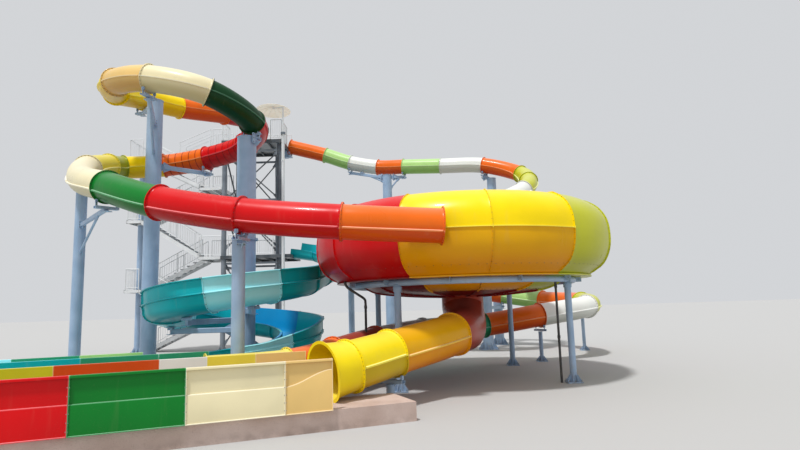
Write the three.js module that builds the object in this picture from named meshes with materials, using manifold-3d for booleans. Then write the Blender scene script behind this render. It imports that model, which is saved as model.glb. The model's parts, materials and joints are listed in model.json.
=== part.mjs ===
// Water slide tower with a bowl slide, a tube slide and an open spiral flume.
// Millimetres, +Z up. The origin is the foot of the tower's front right column.
// +Y leads away from the run-out lanes.
import * as THREE from "three";
import { mergeVertices } from "three/addons/utils/BufferGeometryUtils.js";
import Module from "manifold-3d";

const wasm = await Module();
wasm.setup();
const { Manifold, Mesh } = wasm;

// Clearances
const SEAM = 0.3; // between two pieces that touch
const CLEAR = 0.4; // around a piece that another one is shaped to

// Tubes of the two closed slides
const TUBE_RADIUS = 405;
const TUBE_WALL = 28;
const TUBE_SIDES = 10;
const FLANGE_LIP = 62; // how far a flange stands out of the tube
const FLANGE_HALF = 42; // half the thickness of a bolted flange pair
const STEPS = 2; // straight pieces in one moulded section

// Exit tube under the bowl
const EXIT_RADII = [625, 625, 590, 504, 488, 495, 550]; // at its joints
const EXIT_SQUARE = [0, 0, 0.3, 0.7, 1, 1, 1]; // how upright the sides of its lower half are
const EXIT_WALL = 30;
const EXIT_SIDES = 12;

// Bowl
const BOWL = [8280, -12800];
const BOWL_WALL = 30;
const BOWL_SKIN = [
  [3560, 2890],
  [3860, 2950],
  [4140, 3180],
  [4310, 3540],
  [4350, 3950],
  [4290, 4370],
  [4090, 4690],
  [3800, 4890],
  [3540, 4970],
];
const BOWL_SEGMENTS = 6;
const SEGMENT_STEPS = 5;
const BOWL_FIRST_SEAM = -115.7; // degrees
const DRAIN_RADIUS = 655;
const RING_RADIUS = 3270;
const RING_PIPE = 83;
const RING_HEIGHT = 2745;
const RING_COLUMNS = [-126.5, -35, 54, 144]; // degrees

// Tower
const TOWER_WIDTH = 3000;
const TOWER_DEPTH = 2600;
const BACK_RIGHT_SHIFT = -640; // the back right column stands in from the front one
const TOP_DECK = 11330;
const MID_DECK = 5020;
const GUARD = 1100;
const PIPE_COLUMN = 130;
const H_COLUMN = 290;

// Stair at the tower's left side
const STAIR_RIGHT = -4400;
const STAIR_LEFT = -7500;
const STAIR_END = -8300;
const STAIR_COLUMN = [-8000, 1150];
const LANE_FRONT = 60;
const LANE_BACK = 1240;
const LANE_WIDTH = 1000;

// Run-out lanes: a slab on the ground with upright walls that run off to the left
const RUNOUT_START = [5160, -19800];
const RUNOUT_HEADING = -157.3; // degrees
const RUNOUT_LENGTH = 7750;
const PLINTH_TOP = 360;
const LANE_TOP = 1270;
const NEAR_LANE = 2100; // outer width of the near lane
const MIDDLE_LANE = 1600;
const FAR_LANE_OFFSET = 5700;
const FAR_LANE = 1300;
const FAR_LANE_TOP = 1120;

const rad = (degrees) => (degrees * Math.PI) / 180;
const vec = (p) => new THREE.Vector3(p[0], p[1], p[2] ?? 0);
const UP = new THREE.Vector3(0, 0, 1);

// Solids

// A closed geometry as a solid that can be joined and cut.
function solidOf(geometry) {
  geometry.deleteAttribute("normal");
  geometry.deleteAttribute("uv");
  const { attributes, index } = mergeVertices(geometry, 1e-3);
  const corners = Array.from({ length: index.count / 3 }, (_, i) =>
    [0, 1, 2].map((k) => index.getX(3 * i + k)),
  );
  const faces = corners.filter(([a, b, c]) => a !== b && b !== c && c !== a);
  return new Manifold(
    new Mesh({
      numProp: 3,
      vertProperties: attributes.position.array,
      triVerts: new Uint32Array(faces.flat()),
    }),
  );
}

// A solid from points and the triangles between them, turned so that it faces out.
function solid(points, triangles) {
  let volume = 0;
  for (const [a, b, c] of triangles)
    volume += points[a].dot(points[b].clone().cross(points[c]));
  const turned = volume < 0 ? triangles.map(([a, b, c]) => [a, c, b]) : triangles;
  return solidOf(new THREE.BufferGeometry().setFromPoints(points).setIndex(turned.flat()));
}

function bandTriangles(first, second, count) {
  const out = [];
  for (let i = 0; i < count; i++) {
    const j = (i + 1) % count;
    out.push([first + i, first + j, second + j], [first + i, second + j, second + i]);
  }
  return out;
}

// Rings joined one to the next, and the last to the first again.
function loopedRings(rings) {
  const count = rings[0].length;
  const triangles = rings.flatMap((_, k) =>
    bandTriangles(k * count, ((k + 1) % rings.length) * count, count),
  );
  return solid(rings.flat(), triangles);
}

// Rings joined one to the next, with a flat cap at both ends; caps follow a flat drawing of the ring.
function cappedRings(rings, drawing) {
  const count = rings[0].length;
  const cap = THREE.ShapeUtils.triangulateShape(
    drawing.map(([x, y]) => new THREE.Vector2(x, y)),
    [],
  );
  const triangles = [];
  for (let k = 0; k + 1 < rings.length; k++)
    triangles.push(...bandTriangles(k * count, (k + 1) * count, count));
  const ccw = THREE.ShapeUtils.area(drawing.map(([x, y]) => new THREE.Vector2(x, y))) > 0;
  const last = (rings.length - 1) * count;
  for (const [a, b, c] of cap) {
    const start = ccw ? [a, c, b] : [a, b, c];
    triangles.push(start, [last + start[0], last + start[2], last + start[1]]);
  }
  return solid(rings.flat(), triangles);
}

const join = (parts) => (parts.length > 1 ? Manifold.union(parts) : parts[0]);

// The biggest body of a solid that a cut has left with crumbs.
function largest(made) {
  const bodies = made.decompose();
  return bodies.reduce((best, body) => (body.volume() > best.volume() ? body : best));
}

function block(x0, x1, y0, y1, z0, z1) {
  const geometry = new THREE.BoxGeometry(x1 - x0, y1 - y0, z1 - z0);
  return geometry.translate((x0 + x1) / 2, (y0 + y1) / 2, (z0 + z1) / 2);
}

const box = (...sides) => solidOf(block(...sides));

function pipeUp(x, y, z0, z1, radius, sides = 12) {
  const geometry = new THREE.CylinderGeometry(radius, radius, z1 - z0, sides);
  return solidOf(geometry.rotateX(Math.PI / 2).translate(x, y, (z0 + z1) / 2));
}

// A straight bar between two points, with a rectangular section: width is level, height is across it.
function bar(from, to, width, height = width) {
  const a = vec(from);
  const b = vec(to);
  const along = b.clone().sub(a).normalize();
  const reference = Math.abs(along.z) > 0.95 ? new THREE.Vector3(0, 1, 0) : UP;
  const side = along.clone().cross(reference).normalize().multiplyScalar(width / 2);
  const rise = side.clone().cross(along).normalize().multiplyScalar(height / 2);
  const drawing = [
    [-1, -1],
    [1, -1],
    [1, 1],
    [-1, 1],
  ];
  const ring = (p) =>
    drawing.map(([s, r]) => p.clone().addScaledVector(side, s).addScaledVector(rise, r));
  return cappedRings([ring(a), ring(b)], drawing);
}

// A round pipe between two points.
function pipe(from, to, radius, sides = 8) {
  const a = vec(from);
  const b = vec(to);
  const along = b.clone().sub(a).normalize();
  const reference = Math.abs(along.z) > 0.95 ? new THREE.Vector3(0, 1, 0) : UP;
  const side = along.clone().cross(reference).normalize();
  const rise = side.clone().cross(along).normalize();
  const drawing = Array.from({ length: sides }, (_, i) => {
    const angle = ((i + 0.5) * 2 * Math.PI) / sides;
    return [Math.cos(angle) * radius, Math.sin(angle) * radius];
  });
  const ring = (p) =>
    drawing.map(([s, r]) => p.clone().addScaledVector(side, s).addScaledVector(rise, r));
  return cappedRings([ring(a), ring(b)], drawing);
}

// Finishes

const finish = (color, roughness, metalness = 0) =>
  new THREE.MeshStandardMaterial({ color, roughness, metalness });
const GLOSS = 0.22;
const GREEN = finish(0x1c5a3c, GLOSS);
const RED = finish(0xb3221d, GLOSS);
const ORANGE = finish(0xe0662a, GLOSS);
const YELLOW = finish(0xf0cf35, GLOSS);
const LIME = finish(0xb4c23c, GLOSS);
const CREAM = finish(0xe3d2a8, GLOSS);
const WHITE = finish(0xe6e8e2, GLOSS);
const TURQUOISE = finish(0x3fa9b8, GLOSS);
const DARK_RED = finish(0x7a1d1a, GLOSS);
const POST_PAINT = finish(0x9fb0bd, 0.45, 0.2);
const TOWER_PAINT = finish(0x8b949a, 0.5, 0.3);
const RAIL_PAINT = finish(0xe1e3e2, 0.5, 0.1);
const SHADE_WHITE = finish(0xd9d7cf, 0.6);
const CONCRETE = finish(0xb9a79b, 0.9);

// Groups

const site = new THREE.Group();

function group(x = 0, y = 0) {
  const made = new THREE.Group();
  made.position.set(x, y, 0);
  site.add(made);
  return made;
}

const slidesGroup = group();
const bowlGroup = group(...BOWL);
const lanesGroup = group(...RUNOUT_START);
const postsGroup = group();
const towerGroup = group();
const stairGroup = group(...STAIR_COLUMN);

// Adds a solid to a group as a named mesh.
// Its own origin is the group's, or the place on the ground that is given last.
function keep(parent, name, made, material, [x, y] = parent.position.toArray()) {
  const { numProp, numVert, vertProperties, triVerts } = made.getMesh();
  const positions = new Float32Array(numVert * 3);
  for (let i = 0; i < numVert; i++)
    positions.set(vertProperties.subarray(i * numProp, i * numProp + 3), i * 3);
  const geometry = new THREE.BufferGeometry();
  geometry.setAttribute("position", new THREE.BufferAttribute(positions, 3));
  geometry.setIndex(new THREE.BufferAttribute(triVerts, 1));
  geometry.translate(-x, -y, 0);
  geometry.computeVertexNormals();
  const mesh = new THREE.Mesh(geometry, material);
  mesh.name = name;
  mesh.position.set(x, y, 0).sub(parent.position);
  parent.add(mesh);
}

// Places in the run-out lanes

const heading = rad(RUNOUT_HEADING);
// A block in the lanes' own directions: along the run, off to the far side, and up.
function laneBlock(t0, t1, o0, o1, z0, z1) {
  const geometry = block(t0, t1, -o1, -o0, z0, z1).rotateZ(heading);
  return solidOf(geometry.translate(RUNOUT_START[0], RUNOUT_START[1], 0));
}

function lanePoint(t, offset, z = 0) {
  return [
    RUNOUT_START[0] + t * Math.cos(heading) + offset * Math.sin(heading),
    RUNOUT_START[1] + t * Math.sin(heading) - offset * Math.cos(heading),
    z,
  ];
}

const FAR_CENTRE = FAR_LANE_OFFSET + FAR_LANE / 2;

// Paths: a smooth line through the joints of a slide. A joint is one bolted flange pair.

class Path {
  constructor(points, level = true) {
    this.curve = new THREE.CatmullRomCurve3(points.map(vec), false, "centripetal");
    this.level = level;
    this.last = points.length - 1;
    // A steady direction for a path that starts upright: level, and to the right of its overall run.
    const run = this.curve.getPoint(1).sub(this.curve.getPoint(0));
    this.right = new THREE.Vector3(run.y, -run.x, 0).normalize();
  }

  // The frame at a joint number: place, direction, and the two directions across.
  at(joint) {
    const u = THREE.MathUtils.clamp(joint / this.last, 0, 1);
    const place = this.curve.getPoint(u);
    const along = this.curve.getTangent(u).normalize();
    const side = this.level
      ? along.clone().cross(UP)
      : this.right.clone().addScaledVector(along, -this.right.dot(along));
    side.normalize();
    return { place, along, side, rise: side.clone().cross(along).normalize() };
  }
}

function shifted(frame, distance) {
  return { ...frame, place: frame.place.clone().addScaledVector(frame.along, distance) };
}

function ringOf(frame, drawing) {
  return drawing.map(([s, r]) =>
    frame.place.clone().addScaledVector(frame.side, s).addScaledVector(frame.rise, r),
  );
}

function circle(radius, sides) {
  return Array.from({ length: sides }, (_, i) => {
    const angle = ((i + 0.5) * 2 * Math.PI) / sides;
    return [Math.sin(angle) * radius, Math.cos(angle) * radius];
  });
}

// The value at a joint number, from a list with a value for each joint.
function between(list, joint) {
  const before = THREE.MathUtils.clamp(Math.floor(joint), 0, list.length - 1);
  const after = Math.min(before + 1, list.length - 1);
  return THREE.MathUtils.lerp(list[before], list[after], THREE.MathUtils.clamp(joint - before, 0, 1));
}

class Tube {
  constructor(points, options = {}) {
    const { radii = points.map(() => TUBE_RADIUS), square = points.map(() => 0) } = options;
    const { wall = TUBE_WALL, sides = TUBE_SIDES, level = true, plain = [] } = options;
    Object.assign(this, { radii, square, wall, sides, plain });
    this.path = new Path(points, level);
  }

  // The outline at a joint, so far outside the tube's skin. Below its middle it can have upright sides.
  outline(joint, outside) {
    const radius = between(this.radii, joint) + outside;
    const power = 2 + 1.2 * between(this.square, joint);
    return circle(1, this.sides).map(([s, r]) => {
      const reach = r < 0 ? (Math.abs(s) ** power + Math.abs(r) ** power) ** (-1 / power) : 1;
      return [s * radius * reach, r * radius * reach];
    });
  }

  // Outer rings from one joint to another. Grow is added all round for the room a neighbour leaves.
  outer(from, to, grow = 0) {
    const half = FLANGE_HALF + grow;
    const rings = [];
    const end = SEAM / 2 - grow;
    for (let joint = from; joint <= to; joint++) {
      const frame = this.path.at(joint);
      const skin = this.outline(joint, grow);
      const lip = this.outline(joint, FLANGE_LIP + grow);
      if (this.plain.includes(joint)) {
        rings.push(ringOf(frame, skin));
        continue;
      }
      if (joint > from) rings.push(ringOf(shifted(frame, -half), skin), ringOf(shifted(frame, -half), lip));
      if (joint === from) rings.push(ringOf(shifted(frame, end), lip));
      if (joint === to) rings.push(ringOf(shifted(frame, -end), lip));
      if (joint < to) {
        rings.push(ringOf(shifted(frame, half), lip), ringOf(shifted(frame, half), skin));
        for (let k = 1; k < STEPS; k++) rings.push(this.ring(joint + k / STEPS, grow));
      }
    }
    return rings;
  }

  ring(joint, outside) {
    return ringOf(this.path.at(joint), this.outline(joint, outside));
  }

  // Inner rings, in the same order.
  inner(from, to, overrun = -SEAM / 2) {
    const end = (joint, distance) =>
      ringOf(shifted(this.path.at(joint), distance), this.outline(joint, -this.wall));
    const rings = [end(from, -overrun)];
    for (let joint = from; joint < to; joint++) {
      if (joint > from) rings.push(this.ring(joint, -this.wall));
      for (let k = 1; k < STEPS; k++) rings.push(this.ring(joint + k / STEPS, -this.wall));
    }
    rings.push(end(to, overrun));
    return rings;
  }

  shell(from, to) {
    return loopedRings([...this.outer(from, to), ...this.inner(from, to).reverse()]);
  }

  // The room the tube fills, a little larger than its skin.
  room(from, to) {
    return cappedRings(this.outer(from, to, CLEAR), circle(1, this.sides));
  }

  bore(from, to, overrun) {
    return cappedRings(this.inner(from, to, overrun), circle(1, this.sides));
  }

  // A cradle under the flange at a joint, cut to the tube, and the point under it where an arm ends.
  cradle(joint, drop = 150, thick = 150) {
    const frame = this.path.at(joint);
    const level = frame.side.clone().setZ(0).normalize();
    const forward = level.clone().cross(UP).multiplyScalar(-1);
    const lip = between(this.radii, joint) + FLANGE_LIP;
    const low = -(lip + drop);
    const high = -0.55 * lip;
    const half = 0.78 * lip;
    const drawing = [
      [-half, high],
      [-0.45 * half, low],
      [0.45 * half, low],
      [half, high],
    ];
    const ring = (distance) =>
      drawing.map(([s, z]) =>
        frame.place
          .clone()
          .addScaledVector(forward, distance)
          .addScaledVector(level, s)
          .add(new THREE.Vector3(0, 0, z)),
      );
    const block = cappedRings([ring(-thick / 2), ring(thick / 2)], drawing);
    const before = Math.max(0, Math.floor(joint) - 1);
    const after = Math.min(this.path.last, Math.ceil(joint) + 1);
    const room = this.room(before, after);
    const foot = frame.place.clone().add(new THREE.Vector3(0, 0, low + 60));
    return { made: largest(block.subtract(room)), foot };
  }
}

// Slide A: the tube slide that makes two loops and enters the bowl.
const slideA = new Tube(
  [
    [-1040, -100, 11860],
    [-560, -2400, 11300],
    [-120, -5000, 10730],
    [-830, -7100, 10370],
    [-2180, -8500, 10200],
    [-3040, -9800, 10120],
    [-3200, -11500, 9720],
    [-2450, -13000, 9450],
    [-1050, -13750, 9220],
    [740, -13700, 8750],
    [1680, -12200, 8280],
    [1000, -10350, 8060],
    [-660, -9600, 7800],
    [-2290, -9500, 7590],
    [-3600, -9950, 7450],
    [-3740, -10750, 7300],
    [-3770, -12000, 6920],
    [-2970, -13700, 6170],
    [-1300, -15450, 5510],
    [590, -16600, 4830],
    [2770, -17200, 4360],
    [5130, -17480, 4090],
    [7430, -17260, 3960],
  ],
  { plain: [17] },
);

// Slide B: the tube slide to the right. It winds down behind the bowl and comes back under it.
const HELIX_B = [10400, -3300, 2150];
const HELIX_B_JOINTS = Array.from({ length: 10 }, (_, i) => {
  const angle = rad(-75 - (i * 585) / 9);
  const height = 6600 - (i * 4100) / 9;
  return [HELIX_B[0] + HELIX_B[2] * Math.cos(angle), HELIX_B[1] + HELIX_B[2] * Math.sin(angle), height];
});
const slideB = new Tube([
  [180, 1999, 11470],
  [2258, 1900, 10874],
  [3710, 1599, 10302],
  [5298, 1300, 9928],
  [6742, 800, 9791],
  [8780, 199, 9627],
  [10995, -500, 9415],
  [12700, -1650, 8633],
  [12760, -3100, 7950],
  [12150, -4650, 7200],
  ...HELIX_B_JOINTS,
  [13200, -2600, 2200],
  [14250, -5200, 2050],
  [13600, -7900, 1900],
  [11450, -9150, 1650],
  [9350, -9600, 1370],
  [7100, -11350, 1290],
  [5650, -13700, 1160],
  [4700, -15800, 1000],
  [3820, -17150, 860],
  [2230, -17950, 830],
]);

// Each stretch of a closed slide: its tube, its first and last joint, and its main colour.
const STRETCHES = [
  ["slide_a_0", slideA, 0, 2, RED],
  ["slide_a_1", slideA, 2, 4, RED],
  ["slide_a_2", slideA, 4, 8, CREAM],
  ["slide_a_3", slideA, 8, 12, GREEN],
  ["slide_a_4", slideA, 12, 16, YELLOW],
  ["slide_a_5", slideA, 16, 21, RED],
  ["slide_b_0", slideB, 0, 2, ORANGE],
  ["slide_b_1", slideB, 2, 4, ORANGE],
  ["slide_b_2", slideB, 4, 8, WHITE],
  ["slide_b_3", slideB, 8, 13, LIME],
  ["slide_b_4", slideB, 13, 19, WHITE],
  ["slide_b_5", slideB, 19, 22, ORANGE],
  ["slide_b_6", slideB, 22, 24, ORANGE],
  ["slide_b_7", slideB, 24, 29, ORANGE],
];
for (const [name, tube, from, to, material] of STRETCHES)
  keep(slidesGroup, name, tube.shell(from, to), material, tube.path.at(from).place.toArray());

// Bowl

function turned(profile, from, to, steps) {
  const rings = Array.from({ length: steps + 1 }, (_, k) => {
    const angle = from + ((to - from) * k) / steps;
    return profile.map(
      ([r, z]) =>
        new THREE.Vector3(BOWL[0] + r * Math.cos(angle), BOWL[1] + r * Math.sin(angle), z),
    );
  });
  return cappedRings(rings, profile);
}

function turnedRound(profile, steps, start = rad(BOWL_FIRST_SEAM)) {
  const rings = Array.from({ length: steps }, (_, k) => {
    const angle = start + (2 * Math.PI * k) / steps;
    return profile.map(
      ([r, z]) =>
        new THREE.Vector3(BOWL[0] + r * Math.cos(angle), BOWL[1] + r * Math.sin(angle), z),
    );
  });
  return loopedRings(rings);
}

function bowlSkin(grow) {
  return BOWL_SKIN.map(([r, z], i) => {
    const before = BOWL_SKIN[Math.max(0, i - 1)];
    const after = BOWL_SKIN[Math.min(BOWL_SKIN.length - 1, i + 1)];
    const run = Math.hypot(after[0] - before[0], after[1] - before[1]);
    return [r + (grow * (after[1] - before[1])) / run, z - (grow * (after[0] - before[0])) / run];
  });
}

const DISH_TOP = RING_HEIGHT + RING_PIPE + 30;
const SEAT_INNER = 3120;
const SEAT_OUTER = 3780;
const SEAT_MIDDLE = 3480;
const wallOutline = (grow) => {
  const skin = bowlSkin(grow);
  skin[0] = [SEAT_OUTER - 40 + grow, DISH_TOP + SEAM - grow];
  skin.splice(1, 0, [SEAT_OUTER - 30 + grow, DISH_TOP + 45]);
  return skin;
};
const wallSection = [
  ...wallOutline(0),
  [BOWL_SKIN.at(-1)[0] - 5, BOWL_SKIN.at(-1)[1] - BOWL_WALL],
  ...bowlSkin(-BOWL_WALL)
    .slice(1, -1)
    .reverse(),
  [3560, DISH_TOP + 30],
  [3480, DISH_TOP + SEAM],
];
const bowlHull = turnedRound(
  [[2000, DISH_TOP], ...wallOutline(CLEAR), [2000, BOWL_SKIN.at(-1)[1] + CLEAR]],
  BOWL_SEGMENTS * SEGMENT_STEPS,
);
const entryBore = slideA.bore(20, 22, -45);

const seamAngle = SEAM / 2 / SEAT_MIDDLE;
const BOWL_COLOURS = [YELLOW, LIME, RED, YELLOW, ORANGE, RED];
for (let i = 0; i < BOWL_SEGMENTS; i++) {
  const from = rad(BOWL_FIRST_SEAM + (i * 360) / BOWL_SEGMENTS) + seamAngle;
  const to = rad(BOWL_FIRST_SEAM + ((i + 1) * 360) / BOWL_SEGMENTS) - seamAngle;
  const panel = turned(wallSection, from, to, SEGMENT_STEPS).subtract(entryBore);
  keep(bowlGroup, "bowl_wall_" + (i + 1), panel, BOWL_COLOURS[i]);
}
const entrySkin = cappedRings(slideA.outer(21, 22), circle(1, TUBE_SIDES));
keep(
  slidesGroup,
  "slide_a_6",
  entrySkin.subtract(entryBore).subtract(bowlHull),
  ORANGE,
  slideA.path.at(21).place.toArray(),
);

keep(
  bowlGroup,
  "bowl_dish",
  turnedRound(
    [
      [SEAT_OUTER, DISH_TOP - 30],
      [SEAT_OUTER, DISH_TOP],
      [SEAT_INNER - 10, DISH_TOP],
      [2600, 2590],
      [1600, 2470],
      [DRAIN_RADIUS, 2420],
      [DRAIN_RADIUS, 2390],
      [1600, 2440],
      [2600, 2558],
      [SEAT_INNER, DISH_TOP - 30],
    ],
    28,
  ),
  DARK_RED,
);

// Ring beam of pipe on four columns
const ringPipe = Array.from({ length: 8 }, (_, i) => {
  const angle = rad(22.5 + 45 * i);
  return [
    RING_RADIUS + (RING_PIPE * Math.cos(angle)) / Math.cos(rad(22.5)),
    RING_HEIGHT + (RING_PIPE * Math.sin(angle)) / Math.cos(rad(22.5)) - SEAM,
  ];
});
const RING_COLUMN = 88; // radius
const RING_FOOT = 200; // half width of a column's base plate
const ringColumns = RING_COLUMNS.map((degrees) => {
  const x = BOWL[0] + RING_RADIUS * Math.cos(rad(degrees));
  const y = BOWL[1] + RING_RADIUS * Math.sin(rad(degrees));
  const foot = box(x - RING_FOOT, x + RING_FOOT, y - RING_FOOT, y + RING_FOOT, 0, 25);
  return join([pipeUp(x, y, 10, RING_HEIGHT, RING_COLUMN), foot]);
});
keep(bowlGroup, "bowl_frame", join([turnedRound(ringPipe, 28), ...ringColumns]), POST_PAINT);

// Exit tube: an elbow under the drain, then three sections to the near lane.
const exitTube = new Tube(
  [
    [8280, -12800, 2389.85],
    [8280, -12800, 2080],
    [8230, -13700, 1540],
    [7680, -15450, 1400],
    [6130, -17350, 1130],
    [5290, -18430, 990],
    [4840, -18800, 930],
  ],
  {
    radii: EXIT_RADII,
    square: EXIT_SQUARE,
    wall: EXIT_WALL,
    sides: EXIT_SIDES,
    level: false,
    plain: [1, 2],
  },
);
keep(bowlGroup, "exit_elbow", exitTube.shell(0, 3), ORANGE);
keep(bowlGroup, "exit_tube", exitTube.shell(3, 6), YELLOW);

// Slide C: the open flume. Its drawing looks along the ride, with the outside of the turn at the left.
const FLUME_SKIN = [
  [620, 330],
  [600, 60],
  [440, -95],
  [0, -140],
  [-440, -90],
  [-620, 120],
  [-640, 350],
  [-700, 360],
  [-700, 400],
  [-645, 410],
  [-655, 770],
  [-730, 770],
  [-730, 800],
];
const FLUME_BED = [
  [-625, 800],
  [-612, 340],
  [-590, 135],
  [-425, -62],
  [0, -110],
  [425, -65],
  [572, 75],
  [590, 355],
  [665, 355],
  [665, 330],
];
const LANE_DROP = 250; // how much lower the outer wall ends

function flumeDrawing(low, grow = 0) {
  const cut = ([s, r]) => [s, s < -605 && r > 500 ? r - low : r];
  if (!grow) return [...FLUME_SKIN, ...FLUME_BED].map(cut);
  return [
    [680, 380],
    [680, 320],
    [620, 40],
    [460, -110],
    [0, -140],
    [-460, -110],
    [-640, 110],
    [-705, 340],
    [-740, 810],
  ]
    .map(cut)
    .map(([s, r]) => [s, r - grow]);
}

class Flume {
  constructor(points) {
    this.path = new Path(points);
  }

  rings(from, to, lowAt, grow = 0) {
    const out = [];
    const steps = Math.round((to - from) * STEPS);
    const inset = SEAM / 2 - grow;
    for (let k = 0; k <= steps; k++) {
      const joint = from + ((to - from) * k) / steps;
      const end = k === 0 ? inset : k === steps ? -inset : 0;
      out.push(ringOf(shifted(this.path.at(joint), end), flumeDrawing(lowAt(joint), grow)));
    }
    return out;
  }

  shell(from, to, lowAt = () => 0) {
    return cappedRings(this.rings(from, to, lowAt), flumeDrawing(0));
  }

  room(from, to, lowAt = () => 0) {
    return cappedRings(this.rings(from, to, lowAt, CLEAR), flumeDrawing(0, CLEAR));
  }
}

const HELIX_C = [1240, -12300, 2020];
const helixC = (degrees) => [
  HELIX_C[0] + HELIX_C[2] * Math.cos(rad(-degrees)),
  HELIX_C[1] + HELIX_C[2] * Math.sin(rad(-degrees)),
  2700 - (1700 * degrees) / 360,
];
const HELIX_C_STEP = 38;
const HELIX_C_JOINTS = Array.from({ length: 12 }, (_, i) => helixC(i * HELIX_C_STEP));
const slideC = new Flume([
  [600, 1150, 5000],
  [2000, 800, 4740],
  [3200, -700, 4420],
  [4100, -3000, 4080],
  [4250, -5600, 3730],
  [3920, -8000, 3380],
  [3420, -10300, 3020],
  ...HELIX_C_JOINTS,
  lanePoint(1900, FAR_CENTRE, 560),
  lanePoint(3300, FAR_CENTRE, 500),
]);
const C_HELIX_START = 7;
const lowering = (joint) =>
  LANE_DROP * THREE.MathUtils.clamp((joint - (C_HELIX_START + 9.5)) / 1.5, 0, 1);
const FLUME_JOINTS = [0, 7, 11, 16, 20];
for (let i = 1; i < FLUME_JOINTS.length; i++) {
  const from = FLUME_JOINTS[i - 1];
  const stretch = slideC.shell(from, FLUME_JOINTS[i], lowering);
  keep(slidesGroup, "slide_c_" + i, stretch, TURQUOISE, slideC.path.at(from).place.toArray());
}

// Run-out lanes

const FLOOR = PLINTH_TOP + SEAM;
const SHEET = 40;
const STEP_OUT = 18; // how far a lane wall's lower half stands out
const LIP = 70;
const LIP_DEPTH = 45;

// One upright wall that is thicker below mid height and has a lip along its top.
function laneWall(t0, t1, o0, o1, top, face) {
  const step = face < 0 ? [o0 - STEP_OUT, o1 - 1] : [o0 + 1, o1 + STEP_OUT];
  const lip = face < 0 ? [o0 - LIP, o1] : [o0, o1 + LIP];
  const middle = (FLOOR + top) / 2;
  return join([
    laneBlock(t0, t1, o0, o1, FLOOR, top),
    laneBlock(t0, t1, ...step, FLOOR, middle),
    laneBlock(t0, t1, ...lip, top - LIP_DEPTH, top),
  ]);
}

keep(
  lanesGroup,
  "runout_near",
  join([
    laneBlock(0, RUNOUT_LENGTH, 0, NEAR_LANE, FLOOR, FLOOR + SHEET),
    laneWall(0, RUNOUT_LENGTH, 0, SHEET, LANE_TOP, -1),
    laneWall(0, RUNOUT_LENGTH, NEAR_LANE - SHEET, NEAR_LANE, LANE_TOP, 1),
    laneBlock(RUNOUT_LENGTH - SHEET, RUNOUT_LENGTH, 0, NEAR_LANE, FLOOR, LANE_TOP - LIP_DEPTH),
  ]).subtract(exitTube.room(5, 6)),
  RED,
);

const middle0 = NEAR_LANE + LIP + 2 + SEAM;
const middle1 = NEAR_LANE + MIDDLE_LANE;
const MIDDLE_START = 1850;
const KERB = 240; // height of the low side between the two near lanes
keep(
  lanesGroup,
  "runout_middle",
  join([
    laneBlock(MIDDLE_START, RUNOUT_LENGTH, middle0, middle1, FLOOR, FLOOR + SHEET),
    laneBlock(MIDDLE_START, RUNOUT_LENGTH, middle0, middle0 + SHEET, FLOOR, FLOOR + KERB),
    laneWall(MIDDLE_START, RUNOUT_LENGTH, middle1 - SHEET, middle1, LANE_TOP, 1),
    laneBlock(RUNOUT_LENGTH - SHEET, RUNOUT_LENGTH, middle0, middle1, FLOOR, LANE_TOP - LIP_DEPTH),
  ]).subtract(slideB.room(28, 29)),
  TURQUOISE,
);

const far0 = FAR_LANE_OFFSET;
const far1 = FAR_LANE_OFFSET + FAR_LANE;
const flumeEnd = slideC.path.at(20).place;
const FAR_START =
  (flumeEnd.x - RUNOUT_START[0]) * Math.cos(heading) + (flumeEnd.y - RUNOUT_START[1]) * Math.sin(heading);
keep(
  lanesGroup,
  "runout_far",
  join([
    laneBlock(FAR_START + SEAM, RUNOUT_LENGTH, far0, far1, FLOOR, FLOOR + SHEET),
    laneWall(FAR_START + SEAM, RUNOUT_LENGTH, far0, far0 + SHEET, FAR_LANE_TOP, -1),
    laneWall(FAR_START + SEAM, RUNOUT_LENGTH, far1 - SHEET, far1, FAR_LANE_TOP, 1),
    laneBlock(RUNOUT_LENGTH - SHEET, RUNOUT_LENGTH, far0, far1, FLOOR, FAR_LANE_TOP - LIP_DEPTH),
  ]).subtract(slideC.room(19, 20)),
  GREEN,
);

const INSIDE = 60; // how far a plinth's sides stand back from the lane above
const PIER_LENGTH = 1650; // the plinth's tongue under the exit tube
const PIER_WIDTH = 1300;
const MIDDLE_OVERHANG = 480; // how far the middle lane stands out past its plinth
keep(
  lanesGroup,
  "plinth_near",
  join([
    laneBlock(-INSIDE, RUNOUT_LENGTH - INSIDE, INSIDE, middle1 - MIDDLE_OVERHANG, 0, PLINTH_TOP),
    laneBlock(-PIER_LENGTH, 0, INSIDE, PIER_WIDTH, 0, PLINTH_TOP),
  ])
    .subtract(exitTube.room(4, 6))
    .subtract(slideB.room(27, 29)),
  CONCRETE,
);
const farPlinth = laneBlock(
  FAR_START + INSIDE,
  RUNOUT_LENGTH - INSIDE,
  far0 + INSIDE,
  far1 - INSIDE,
  0,
  PLINTH_TOP,
);
keep(lanesGroup, "plinth_far", farPlinth, CONCRETE);

// Posts

const BASE_PLATE = 30;
const PLATE_REACH = 1.7; // a base plate's half width, in post radii

function basePlate(x, y, reach, thick = BASE_PLATE) {
  return box(x - reach, x + reach, y - reach, y + reach, 0, thick);
}

function post([x, y], radius, top) {
  return join([pipeUp(x, y, 10, top, radius), basePlate(x, y, radius * PLATE_REACH)]);
}

// A cantilever arm from a post to a cradle. Its root lies lower by the fall, with a strut that far below it.
function arm([x, y], cradle, thick, { strut = 0, fall = 0 } = {}) {
  const foot = cradle.foot;
  const root = [x, y, foot.z - fall];
  const parts = [cradle.made, bar(root, foot.toArray(), thick * 0.8, thick)];
  if (strut) {
    const meet = vec([x, y]).lerp(foot, 0.72).setZ(foot.z - thick * 0.3);
    parts.push(bar([x, y, foot.z - strut], meet.toArray(), thick * 0.55));
  }
  return parts;
}

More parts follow.
